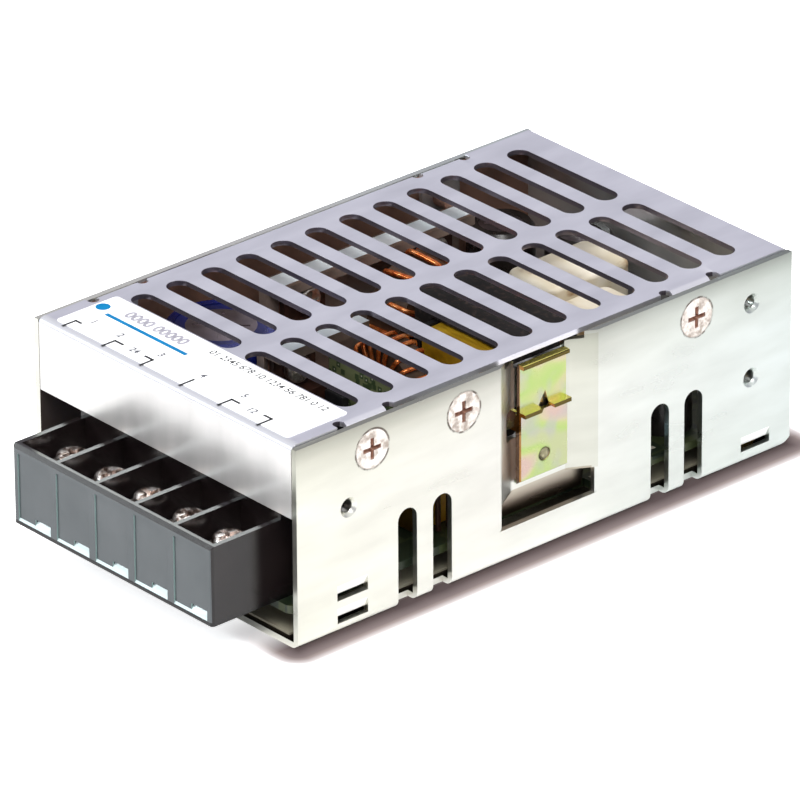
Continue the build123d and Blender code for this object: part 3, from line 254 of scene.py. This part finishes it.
def passivation():
    """Yellow passivated steel: bands of green, yellow, pink and grey that run into each other."""
    made = surface(
        "yellow_passivated_steel",
        [(0.36, "#c2aaa0"), (0.44, "#c0b696"), (0.50, "#b2be7e"), (0.58, "#a8be74"), (0.66, "#b2b88e")],
        4, (0.2, 0.32), metallic=1.0, bump_mm=0.004)
    tree = made.node_tree
    bands = shader_of(made).inputs["Base Color"].links[0].from_node
    tree.links.new(pattern(tree, 7.5, (1, 1.5, 0.8), detail=1.0, rough=0.3), bands.inputs["Fac"])
    veil = pattern(tree, 4.0, (1, 1, 1.4), detail=2.0, rough=0.4)
    grey = add(tree, "ValToRGB", {"Fac": veil}, [(0.5, "#000000"), (0.68, "#c8c8c8")])
    recolour(made, grey.outputs["Color"], to_linear("#aaa8ac"))
    return made


# Finishes
looks = {
    # Zinc plated sheet steel of the chassis, rolled: pale and neutral, with faint streaks along the case
    "case_metal": surface(
        "satin_sheet_metal", [(0.3, "#cdccc9"), (0.52, "#d6d5d2"), (0.75, "#dedddb")], 22, (0.24, 0.34),
        metallic=1.0, stretch=(1, 1, 0.25)),
    # The same steel on the cover, bluer because it mirrors the sky
    "cover_metal": surface(
        "satin_cover_metal", [(0.3, "#dadae0"), (0.55, "#e4e4ea"), (0.8, "#ededf2")], 18, (0.3, 0.42),
        metallic=0.86, stretch=(0.3, 1, 1)),
    # White plastic film of the label, hardly glossy
    "label_film": surface(
        "white_label_film", [(0.3, "#f6f6f6"), (0.7, "#ffffff")], 9, (0.4, 0.5), bump_mm=0.002),
    # Nickel plated steel of the screws, bright and warmed by what it mirrors
    "plated_screw": surface(
        "nickel_plated_steel", [(0.36, "#a89c92"), (0.5, "#dcd4cc"), (0.66, "#f4efea")], 1.6, (0.25, 0.38),
        metallic=0.9, bump_mm=0.003),
    # Plate of the terminal screws and washers, darkened as painted shade, with brown spots and bright spots
    # of painted highlight
    "terminal_plate": surface(
        "terminal_plate_painted_shade_and_glints", [(0.36, "#55463f"), (0.47, "#a8978e"), (0.56, "#fff8f4")], 1.5, (0.2, 0.3),
        metallic=0.9, bump_mm=0.003),
    # Plated steel of the rivet, greyed yellow
    "rivet_metal": surface(
        "plated_rivet_steel", [(0.3, "#6f6a50"), (0.7, "#b0ab8c")], 0.8, (0.25, 0.4), metallic=1.0,
        bump_mm=0.003),
    # Polyester film under the board, thin and cloudy
    "insulating_film": surface(
        "cloudy_insulating_film", [(0.3, "#8f8a76"), (0.7, "#aaa592")], 14, (0.35, 0.5), bump_mm=0.01),
    # Turned brass of the standoffs, warm and half glossy
    "brass": surface(
        "turned_brass", [(0.3, "#a98a45"), (0.7, "#d6b867")], 2, (0.25, 0.4), metallic=1.0, bump_mm=0.004),
    # Tin plate on terminals and fuse clips, soft grey
    "tinned_brass": surface(
        "tin_plate", [(0.3, "#a8a49c"), (0.7, "#d4d1ca")], 2, (0.3, 0.45), metallic=1.0, bump_mm=0.004),
    # Black moulded polyester of the terminal block, glossy
    "black_moulding": surface(
        "black_glossy_moulding", [(0.3, "#140f10"), (0.7, "#1c1616")], 8, (0.16, 0.26), bump_mm=0.004,
        Specular_IOR_Level=0.42),
    # Bare aluminium sheet of the heatsinks, almost white where it faces the light
    "heatsink_aluminium": surface(
        "bare_aluminium_sheet", [(0.3, "#dfe9ee"), (0.7, "#f6fbfd")], 6, (0.3, 0.45), metallic=0.15,
        bump_mm=0.006, stretch=(1, 1, 0.3)),
    # Moulded epoxy of the transistors, brown black and dull
    "transistor_plastic": surface(
        "black_transistor_epoxy", [(0.3, "#2c1912"), (0.7, "#4a2c22")], 2, (0.4, 0.55), bump_mm=0.01),
    # Silicone rubber of the heat conducting pads, matt
    "pad_rubber": surface(
        "grey_heat_pad", [(0.3, "#7e5a4a"), (0.7, "#9a7462")], 3, (0.6, 0.75), bump_mm=0.01),
    # Sintered ferrite of the transformer core, dark with a dry grain
    "ferrite": surface(
        "dark_ferrite", [(0.36, "#0b0807"), (0.55, "#1a1311"), (0.68, "#3c302b")], 1.2, (0.6, 0.75),
        bump_mm=0.02),
    # Moulded nylon of the bobbin, black and satin
    "bobbin_plastic": surface(
        "black_bobbin_moulding", [(0.3, "#151414"), (0.7, "#201f1f")], 3, (0.4, 0.5), bump_mm=0.01),
    # Polyester tape round the transformer, mustard with soft narrow folds
    "winding_tape": surface(
        "mustard_tape", [(0.25, "#86640c"), (0.5, "#a58016"), (0.75, "#c39d2a")], 4, (0.3, 0.45),
        bump_mm=0.05, stretch=(1, 0.2, 1)),
    # Coated iron powder of the ring cores, brown and dull
    "ring_core": surface(
        "coated_ring_core", [(0.3, "#3b2a20"), (0.7, "#54402f")], 2, (0.4, 0.55), bump_mm=0.02),
    # Enamelled copper of the chokes, orange with bright highlights
    "copper_wire": surface(
        "enamelled_copper", [(0.3, "#bb5222"), (0.55, "#ee8a48"), (0.8, "#ffc28c")], 1.6, (0.18, 0.3),
        metallic=0.7, bump_mm=0.006),
    # Moulded nylon under the chokes, black and satin
    "choke_base_plastic": surface(
        "black_base_moulding", [(0.3, "#161616"), (0.7, "#242424")], 3, (0.45, 0.55), bump_mm=0.01),
    # Drawn aluminium of the capacitor cans, greyed in the shade of the cover
    "can_aluminium": surface(
        "scored_can_aluminium", [(0.3, "#8f8488"), (0.7, "#b0a4a8")], 4, (0.3, 0.42), metallic=1.0,
        bump_mm=0.006),
    # Shrunk vinyl sleeve of the large capacitor, dark blue and glossy
    "blue_sleeve": surface(
        "dark_blue_sleeve", [(0.3, "#101552"), (0.6, "#1a2472"), (0.8, "#2a3690")], 5, (0.2, 0.32),
        bump_mm=0.01),
    # Shrunk vinyl sleeves of the small capacitors, black and glossy
    "black_sleeve": surface(
        "black_sleeve", [(0.3, "#1a1716"), (0.7, "#2c2624")], 4, (0.22, 0.35), bump_mm=0.01),
    # Moulded box of the film capacitor, yellow and half glossy
    "yellow_box": surface(
        "yellow_capacitor_box", [(0.3, "#d19a12"), (0.7, "#e8b62a")], 4, (0.3, 0.42), bump_mm=0.01),
    # Wrapped and sealed film capacitors, cream mottled with brown
    "cream_box": surface(
        "cream_wrapped_capacitor", [(0.28, "#b08a5e"), (0.42, "#efe2c6"), (0.7, "#fff6e4")], 7, (0.25, 0.4),
        bump_mm=0.02, stretch=(1, 1, 0.4)),
    # Dipped epoxy of the safety discs, blue and glossy
    "blue_disc": surface(
        "blue_dipped_disc", [(0.3, "#1d4f93"), (0.7, "#2f6cb8")], 3, (0.2, 0.3), bump_mm=0.02),
    # Moulded epoxy of the chips, black and dull
    "chip_epoxy": surface(
        "black_chip_epoxy", [(0.3, "#141415"), (0.7, "#222224")], 1.5, (0.45, 0.6), bump_mm=0.01),
    # Nickel plated brass caps of the fuse, bright
    "fuse_metal": surface(
        "nickel_fuse_cap", [(0.3, "#b8b4ac"), (0.7, "#dedbd4")], 2, (0.2, 0.3), metallic=1.0, bump_mm=0.003),
    # Drawn glass tube of the fuse, clear with a faint haze
    "fuse_glass": surface(
        "clear_fuse_glass", [(0.3, "#dfe8e6"), (0.7, "#eef4f3")], 3, (0.05, 0.1), Transmission_Weight=0.9),
    # Lacquer of the resistors, pale blue and half glossy
    "resistor_body": surface(
        "pale_blue_lacquer", [(0.3, "#7d97a3"), (0.7, "#9fb7c0")], 1.5, (0.25, 0.35), bump_mm=0.01,
        stretch=(1, 0.4, 1)),
    # Green boards: the main one in deep shade, the upright one lighter with finer tracks
    "board_laminate": laminate(
        "green_main_laminate", [(0.3, "#141f15"), (0.7, "#222b1a")], track="#363d24", size_mm=4.2),
    "control_laminate": laminate(
        "green_board_laminate", [(0.3, "#2c3c22"), (0.7, "#43522f")], track="#6d7350", size_mm=1.25),
    # Yellow passivated spring steel of the clip, with rainbow tints
    "clip_steel": passivation(),
}
case_metal = looks["case_metal"]
cover_metal = looks["cover_metal"]
clip_steel = looks["clip_steel"]
moulding = looks["black_moulding"]
aluminium = looks["heatsink_aluminium"]

# Ranges of a face's direction along an axis; 1.1 lets in a face that is square to it
with_axis = (0.5, 1.1)
leaning_with_axis = (0.3, 1.1)
against_axis = (-1.1, -0.5)

# Painted grey sheen on the front of the moulding, a dark rim of painted shade under its panels, painted pale
# highlights on the slopes at their foot
painted_front_sheen = add(
    moulding.node_tree, "ValToRGB", {"Fac": pattern(moulding.node_tree, size_mm=12)},
    [(0.3, "#454a4c"), (0.7, "#505456")]).outputs["Color"]
patch(moulding, painted_front_sheen, "MIX", NY=(-1.1, -0.8), Y=(block_front - 5.4, block_front + 0.5))
patch(moulding, "#0e0d0d", "MIX", Z=(0, block_foot + 0.75))
patch(moulding, "#c4d4d4", "MIX", NZ=(0.3, 0.8), Z=(block_foot + 0.6, block_foot + 3.1))
# Painted pale highlights on the narrow steps between the panels
patch(
    moulding, "#7d9490", "MIX", X=(block_left + 0.1, block_right - 1.3),
    Y=(block_front - 0.02, block_front + 0.6), Z=(block_foot + 0.8, block_top - 1.2), NX=leaning_with_axis)


def rolled_sleeve(made, inner_mm, outer_mm, code):
    """Colours the ring on top of the large can, where its sleeve is rolled over the rim."""
    tree = made.node_tree
    from_above = add(
        tree, "VectorMath", {0: add(tree, "TexCoord").outputs["Object"], 1: (1, 1, 0)}, operation="MULTIPLY")
    middle = (can_middle[0] * MM, can_middle[1] * MM, 0)
    away = add(tree, "VectorMath", {0: from_above.outputs["Vector"], 1: middle}, operation="DISTANCE")
    rolled = between(tree, away.outputs["Value"], inner_mm * MM, outer_mm * MM)
    recolour(made, rolled, to_linear(code))
    bare = add(tree, "MapRange", {"Value": rolled, "To Min": 1.0, "To Max": 0.0})
    tree.links.new(bare.outputs["Result"], shader_of(made).inputs["Metallic"])


rolled_sleeve(looks["can_aluminium"], inner_mm=6.6, outer_mm=11, code="#161c58")

# The front end of the yellow box stands in shade
graded(looks["yellow_box"], "Y", yellow_front - 0.4, yellow_front + 8.6, [(0, "#4a4438"), (1, "#ffffff")])


def flanges_with_painted_reflection(made, low_mm, high_mm):
    """Gives the cover's flanges a warmer tone than its top, a painted reflection, and fainter but sharper
    reflections.
    """
    graded(made, "Z", low_mm, high_mm, [(0, "#f6f3ea"), (1, "#efeef2")])
    tree = made.node_tree
    height = place_in(tree)["Z"]
    limits = {"Value": height, "From Min": low_mm * MM, "From Max": high_mm * MM}
    mirroring = add(tree, "MapRange", {**limits, "To Min": 0.62, "To Max": 0.9})
    tree.links.new(mirroring.outputs["Result"], shader_of(made).inputs["Metallic"])
    blur = add(tree, "MapRange", {**limits, "To Min": 0.7, "To Max": 1.0})
    rough = shader_of(made).inputs["Roughness"]
    blurred = add(
        tree, "Math", {0: rough.links[0].from_socket, 1: blur.outputs["Result"]}, operation="MULTIPLY")
    tree.links.new(blurred.outputs[0], rough)


flanges_with_painted_reflection(cover_metal, cover_top - 1.6, cover_top - 0.2)
# Walls of the slots, in the shade of the sheet
patch(
    cover_metal, "#8d858c", X=(far_side + 3, near_side - 3), Y=(front + 2.5, rear - 2.5),
    Z=(cover_top - 2.5, cover_top - 0.05), NZ=(-0.5, 0.5))
# Painted highlight on the front edge of the cover, before the label: a grey that mirrors less
patch(
    cover_metal, "#b4b4ba", "MIX", 0.3, Y=(front - 0.1, front + 1.7), Z=(cover_top - 1, cover_top + 0.1),
    NZ=leaning_with_axis)

# Painted reflection on the walls: darker towards their top edge, where they mirror less light, and from a
# warm to a cool white along the case
graded(
    case_metal, "Z", wall_top - 13.6, wall_top,
    [(0, "#ffffff"), (0.4, "#f8f8f6"), (0.75, "#e2e2de"), (1, "#b8b8b4")], near_only=True)
graded(case_metal, "Y", front, rear, [(0, "#fffff6"), (0.4, "#fffffb"), (0.75, "#f8fefc"), (1, "#ecf5f4")])
# Painted shade round the screw heads and in the seam of each head
ringed(case_metal, wall_screws, seat_radius, seam_width, "#5a5048")
ringed(case_metal, heatsink_screw, seat_radius, seam_width, "#5a5048", near_only=True)
ringed(looks["plated_screw"], wall_screws + heatsink_screw, head_radius, seam_width, "#4c3c34")
# The cross in each screw head is brown with shade and dust
for side in ((far_side + 0.25, far_side + 6), (near_side - 6, near_side - 0.25)):
    patch(looks["plated_screw"], "#b48c7a", "MIX", 0.1, X=side)
# Inner side of the far wall, in brown shade, darker behind the front flange
wall_shade = {"X": (far_side - 1, far_side + 6), "Z": (1.5, wall_top - 0.6), "NX": with_axis}
patch(case_metal, "#8c6a5a", "MIX", 0.1, Y=(front + 10, rear + 1), **wall_shade)
patch(case_metal, "#463d38", "MIX", 0.2, Y=(front - 1, front + 10), **wall_shade)
# Upright faces of the heatsinks and the top edges at both sides of the output one, in brown shade
patch(aluminium, "#9a8478", NZ=(-1.1, 0.5))
patch(aluminium, "#7c6254", X=(sink_far - 0.7, sink_far + 1.2), NZ=with_axis)
patch(aluminium, "#7c6254", X=(sink_near - 0.9, sink_near + 0.3), NZ=with_axis)
# Painted shade on the tongue under the rail clip, darker downwards
patch(
    case_metal, [(0, "#5c4c44"), (0.45, "#93837a"), (1, "#ded4ca")], X=(near_side - 7, near_side - 0.5),
    Y=(-11.4, 11.4), Z=(7.0, 12.4), NX=leaning_with_axis)
# Pressed strips of the louvres catch the light of the floor
for ends in ((front + 8, front + 18), (rear - 14, rear - 4)):
    patch(
        case_metal, "#f4f4f0", "MIX", 0.2, X=(near_side - 2.5, near_side + 0.1), Y=ends, Z=(2.5, 12.5),
        NZ=(-0.7, -0.15))
# Upper side of the sheet inside the case, in deep shade
patch(case_metal, "#453c33", X=(far_side + 1.5, near_side - 1.2), Z=(0.5, 2.5), NZ=with_axis)
# Painted shade on the far slope of the recess, a little greyer than the wall
patch(
    case_metal, "#f1f0ea", X=(near_side - 3, near_side + 0.1), Y=(5, 20), Z=(12, wall_top - 0.6),
    NY=(-0.95, -0.08))

# Painted highlight in bright yellow on the upward faces of the lip and step of the clip, orange on its near
# edge, painted brown shade deeper in
patch(clip_steel, "#f4ea84", "MIX", NZ=(0.4, 1.1))
patch(clip_steel, "#c08c54", "MIX", X=(near_side - 1.8, near_side + 0.5), NY=against_axis)
patch(clip_steel, "#5c463a", "MIX", X=(near_side - 6, near_side - 1.8), NY=against_axis)
# Painted shade, dark brown, on the outward faces of the lip and step
patch(clip_steel, "#5a4e28", "MIX", X=(near_side - 0.8, near_side + 0.5), NX=with_axis)
# Painted shade in the seam round the rivet head, on the clip and on the rivet
ringed(clip_steel, [rivet], radius_mm=1.25, width_mm=0.35, code="#2c2614")
ringed(looks["rivet_metal"], [rivet], radius_mm=0.95, width_mm=0.4, code="#2a2416")


def soften(piece, width_mm):
    """Rounds the sharp edges of a CAD node without touching its mesh."""
    weld = piece.modifiers.new("weld", "WELD")
    weld.merge_threshold = 0.002 * MM
    bevel = piece.modifiers.new("soft_edges", "BEVEL")
    bevel.width = width_mm * MM
    bevel.segments = 2
    bevel.limit_method = "ANGLE"
    bevel.angle_limit = math.radians(38)
    bevel.use_clamp_overlap = True
    even = piece.modifiers.new("even_normals", "WEIGHTED_NORMAL")
    even.keep_sharp = True


# Widths of the soft edges in millimetres
soft_edges = {
    "chassis": 0.12, "top_cover": 0.12, "terminal_block": 0.14, "rail_clip": 0.08, "clamp_washers": 0.1,
    "terminal_screws": 0.1, "cover_screws": 0.08, "heatsink_wall_screw": 0.08, "output_heatsink": 0.15,
    "input_heatsink": 0.15, "wall_heatsink": 0.2, "transformer_core": 0.3, "transformer_winding": 0.3,
    "film_capacitor": 0.3, "control_chips": 0.15, "output_rectifiers": 0.15, "switching_transistors": 0.15,
}
slots = {entry["node"]: entry["material_slot"] for entry in frame["record"]["subparts"]}
# The terminal screws and washers take the plate with painted shade and painted highlights
parts_in_painted_shade = ("terminal_screws", "clamp_washers")
for name, piece in parts.items():
    piece.data.materials.clear()
    piece.data.materials.append(looks["terminal_plate" if name in parts_in_painted_shade else slots[name]])
    piece.data.shade_smooth()
    piece.data.set_sharp_from_angle(angle=math.radians(35))
    if name in soft_edges:
        soften(piece, soft_edges[name])

# Print on the label: brackets over the terminals, a plain stripe, a plain dot and plain numbers, all matt ink
print_height = 40.128
ink = surface("black_label_ink", [(0.3, "#101012"), (0.7, "#1c1c20")], 2, (0.5, 0.6))
grey_ink = surface("grey_label_ink", [(0.3, "#4c4c52"), (0.7, "#66666e")], 2, (0.5, 0.6))
blue_ink = surface(
    "blue_label_ink", [(0.3, "#006a9c"), (0.7, "#0478ac")], 3, (0.6, 0.7), Specular_IOR_Level=0.1)
pale_ink = surface("pale_label_ink", [(0.3, "#8d8a94"), (0.7, "#a5a2ac")], 2, (0.5, 0.6))


def printed(piece):
    """Puts a printed piece on the label of the part."""
    scene.collection.objects.link(piece)
    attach(piece, "root")


def flat(name, outlines, look):
    """Thin print from closed outlines in millimetres."""
    points, faces = [], []
    for outline in outlines:
        start = len(points)
        points += [Vector((x, y, print_height)) * MM for x, y in outline]
        faces.append(range(start, start + len(outline)))
    mesh = bpy.data.meshes.new(name)
    mesh.from_pydata(points, [], faces)
    mesh.materials.append(look)
    printed(bpy.data.objects.new(name, mesh))


def stroke(points, width):
    """Outlines of a broken line of that width, one rectangle a stretch."""
    made = []
    for (x0, y0), (x1, y1) in zip(points, points[1:]):
        along = Vector((x1 - x0, y1 - y0)).normalized() * width / 2
        across = Vector((-along.y, along.x))
        made.append([
            (x0 - along.x - across.x, y0 - along.y - across.y),
            (x1 + along.x - across.x, y1 + along.y - across.y),
            (x1 + along.x + across.x, y1 + along.y + across.y),
            (x0 - along.x + across.x, y0 - along.y + across.y)])
    return made


def disc(centre, radius, steps=32):
    """Round outline."""
    turns = [math.tau * step / steps for step in range(steps)]
    return [(centre[0] + radius * math.cos(turn), centre[1] + radius * math.sin(turn)) for turn in turns]


def number(name, text, place, size, look, weight=0.06):
    """Plain number, its middle at place; size and added weight of the strokes in millimetres."""
    curve = bpy.data.curves.new(name, "FONT")
    curve.body = text
    curve.size = size * MM
    curve.align_x = "CENTER"
    curve.align_y = "CENTER"
    curve.offset = weight * MM
    curve.materials.append(look)
    piece = bpy.data.objects.new(name, curve)
    piece.location = (place[0] * MM, place[1] * MM, print_height * MM)
    printed(piece)


# Each bracket runs from its foot up to a height and then to the side, as far as arm
bracket_foot = -58.9
brackets = []
for x, height, arm in [
        (-29.0, -56.0, -27.6), (-18.0, -56.0, -15.9), (-7.5, -56.0, -9.5), (3.4, -55.8, None),
        (13.9, -55.8, 15.9), (24.5, -55.6, 22.6)]:
    line = [(x, bracket_foot), (x, height)]
    if arm is not None:
        line.append((arm, height))
    brackets += stroke(line, width=0.55)
flat("label_brackets", brackets, ink)
flat("label_stripe", stroke([(-27.0, -50.2), (-5.5, -50.2)], width=0.9), blue_ink)
flat("label_dot", [disc((-30.1, -48.7), radius=1.4)], blue_ink)
for index, (text, x, y) in enumerate([
        ("1", -26.4, -53.9), ("2", -19.0, -53.9), ("3", -8.0, -53.6), ("4", 3.4, -53.5), ("5", 14.4, -53.2),
        ("24", -12.6, -56.0), ("12", 19.6, -56.0)]):
    number(f"label_number_{index}", text, (x, y), size=2.2, look=grey_ink)
number("label_row", "01 2345 678 10 1234 56 781 0 12", (12.6, -46.1), size=2.3, look=ink, weight=0.02)
number("label_title", "0000 00000", (-16.8, -47.3), size=3.4, look=pale_ink, weight=0.14)


def winding(name, replaced, centre, facing, radius, bore, depth, turns, wire):
    """Round wire wound on a ring core: closed loops of a softly squared outline, sizes in millimetres."""
    clearance = 0.1
    squareness = 0.4
    steps = 20
    curve = bpy.data.curves.new(name, "CURVE")
    curve.dimensions = "3D"
    curve.bevel_depth = wire * MM
    curve.bevel_resolution = 2
    middle = (radius + bore) / 2
    half_width = (radius - bore) / 2 + clearance + wire
    half_depth = depth / 2 + clearance + wire
    chance = random.Random(7)
    for turn in range(turns):
        angle = math.tau * (turn + chance.uniform(-0.12, 0.12)) / turns
        lean = chance.uniform(-0.05, 0.05)
        spline = curve.splines.new("POLY")
        spline.points.add(steps - 1)
        spline.use_cyclic_u = True
        for step in range(steps):
            t = math.tau * step / steps
            u = math.copysign(abs(math.cos(t)) ** squareness, math.cos(t)) * half_width
            v = math.copysign(abs(math.sin(t)) ** squareness, math.sin(t)) * half_depth
            bend = angle + lean * v / half_depth
            spline.points[step].co = (
                (middle + u) * math.cos(bend) * MM, (middle + u) * math.sin(bend) * MM, v * MM, 1)
    curve.materials.append(looks["copper_wire"])
    piece = bpy.data.objects.new(name, curve)
    turn_to = Vector((0, 0, 1)).rotation_difference(Vector(facing)).to_matrix().to_4x4()
    piece.matrix_world = Matrix.Translation(Vector(centre) * MM) @ turn_to
    scene.collection.objects.link(piece)
    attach(piece, "root")
    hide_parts(replaced)


winding(
    "output_choke_wire", "output_choke_winding", middle_of("output_choke_core"), (1, 0, 0),
    radius=11.6, bore=6.4, depth=9.0, turns=27, wire=0.55)
winding(
    "input_choke_wire", "input_choke_winding", middle_of("input_choke_core"), (0, 1, 0),
    radius=9.2, bore=5.0, depth=6.0, turns=24, wire=0.45)


def floor_finish(footprint_mm, contact_mm, fade_mm):
    """White studio floor with a painted soft contact shadow at the case's foot, for the camera alone.

    The painted shadow reaches contact_mm out from the footprint and comes in over the fade_mm range of x.
    The floor glows a little for the camera alone, so that it stays white, and glows more at lower x,
    a painted light that pales the cast shadows there."""
    made = bpy.data.materials.new("white_studio_floor")
    made.use_nodes = True
    tree = made.node_tree
    shader = shader_of(made)
    white = add(tree, "ValToRGB", {"Fac": pattern(tree, size_mm=400)}, [(0.3, "#fbfafa"), (0.7, "#fdfdfd")])
    ground = add(tree, "TexCoord").outputs["Object"]
    away = add(tree, "VectorMath", {0: ground}, operation="ABSOLUTE").outputs["Vector"]
    half_size = (footprint_mm[0] * MM, footprint_mm[1] * MM, 0)
    away = add(tree, "VectorMath", {0: away, 1: half_size}, operation="SUBTRACT").outputs["Vector"]
    away = add(tree, "VectorMath", {0: away, 1: (0, 0, 0)}, operation="MAXIMUM").outputs["Vector"]
    gap = add(tree, "VectorMath", {0: away}, operation="LENGTH").outputs["Value"]
    spread = add(tree, "MapRange", {"Value": gap, "From Max": contact_mm * MM})
    contact = add(tree, "ValToRGB", {"Fac": spread.outputs["Result"]}, [
        (0.0, "#4e4444"), (0.16, "#5b5151"), (0.44, "#706564"), (0.58, "#897e7c"), (0.78, "#b6afaf"),
        (1.0, "#ffffff")])
    across = {
        "Value": add(tree, "SeparateXYZ", {"Vector": ground}).outputs["X"], "From Min": fade_mm[0] * MM,
        "From Max": fade_mm[1] * MM}
    in_view = add(tree, "LightPath").outputs["Is Camera Ray"]
    fade = add(tree, "MapRange", across)
    fade = add(tree, "Math", {0: fade.outputs["Result"], 1: in_view}, operation="MULTIPLY")
    tint = add(
        tree, "Mix", {"Factor": fade.outputs[0], "A": white.outputs["Color"], "B": contact.outputs["Color"]},
        data_type="RGBA", blend_type="MULTIPLY").outputs["Result"]
    tree.links.new(tint, shader.inputs["Base Color"])
    shader.inputs["Roughness"].default_value = 0.9
    shader.inputs["Specular IOR Level"].default_value = 0.0
    strength = add(tree, "MapRange", {**across, "To Min": 0.7, "To Max": 0.4})
    seen = add(tree, "Math", {0: in_view, 1: strength.outputs["Result"]}, operation="MULTIPLY")
    glow = add(tree, "Emission", {"Color": tint, "Strength": seen.outputs[0]})
    both = add(tree, "AddShader", {0: shader.outputs[0], 1: glow.outputs[0]})
    tree.links.new(both.outputs[0], tree.nodes["Material Output"].inputs["Surface"])
    return made


# The floor lies a hair under the base, so that the two faces don't fight
bpy.ops.mesh.primitive_plane_add(size=12, location=(0, 0, -0.01 * MM))
floor = bpy.context.object
floor.name = "studio_floor"
floor.data.materials.append(floor_finish((near_side, rear), contact_mm=5.8, fade_mm=(20, 34)))

# World: bright overhead, a cooler and darker belt above the horizon that the cover mirrors
world = bpy.data.worlds.new("studio_sky")
scene.world = world
world.use_nodes = True
tree = world.node_tree
direction = add(tree, "SeparateXYZ", {"Vector": add(tree, "TexCoord").outputs["Generated"]})
sky = add(tree, "ValToRGB", {"Fac": direction.outputs["Z"]}, [
    (0.0, "#d8d8de"), (0.25, "#c6c6d2"), (0.5, "#d0d0da"), (0.75, "#ffffff")])
background = tree.nodes["Background"]
tree.links.new(sky.outputs["Color"], background.inputs["Color"])
background.inputs["Strength"].default_value = 1.0


def softbox(name, place, aim, size, watts, colour):
    """Square area light that points at aim; place, aim and size in metres."""
    light = bpy.data.lights.new(name, "AREA")
    light.shape = "SQUARE"
    light.size = size
    light.energy = watts
    light.color = to_linear(colour)[:3]
    piece = bpy.data.objects.new(name, light)
    piece.location = place
    piece.rotation_euler = (Vector(aim) - Vector(place)).to_track_quat("-Z", "Y").to_euler()
    scene.collection.objects.link(piece)


softbox("key_softbox", (0.5, -0.5, 1.1), aim=(0, 0, 0), size=0.7, watts=14, colour="#ffffff")
softbox("side_softbox", (1.2, 0.6, 0.5), aim=(0, 0, 0.02), size=0.6, watts=3, colour="#fbfff8")
softbox("front_softbox", (-0.87, -0.81, 0.52), aim=(0, -0.05, 0.02), size=0.4, watts=7, colour="#f4feff")

# Camera, as fitted to the photograph: angles in degrees, distances in millimetres from half the case's height
azimuth, elevation, roll = (math.radians(v) for v in (48.657, 26.608, -0.385))
view_distance = 1685.5
view_left = 2.97
view_down = 3.50
back = Vector((
    math.cos(elevation) * math.sin(azimuth), -math.cos(elevation) * math.cos(azimuth), math.sin(elevation)))
level_right = (-back).cross(Vector((0, 0, 1))).normalized()
level_up = level_right.cross(-back)
right = level_right * math.cos(roll) + level_up * math.sin(roll)
up = level_up * math.cos(roll) - level_right * math.sin(roll)
aim = Vector((0, 0, cover_top / 2))
place = (aim - view_left * level_right - view_down * level_up + view_distance * back) * MM
camera = bpy.data.objects.new("camera", bpy.data.cameras.new("camera"))
camera.data.lens = 415.92
camera.data.sensor_width = 36
camera.data.clip_start = 0.05
camera.data.clip_end = 50
camera.data.dof.use_dof = False
camera.matrix_world = Matrix.Translation(place) @ Matrix((right, up, back)).transposed().to_4x4()
scene.collection.objects.link(camera)
scene.camera = camera
scene.view_settings.view_transform = "Standard"
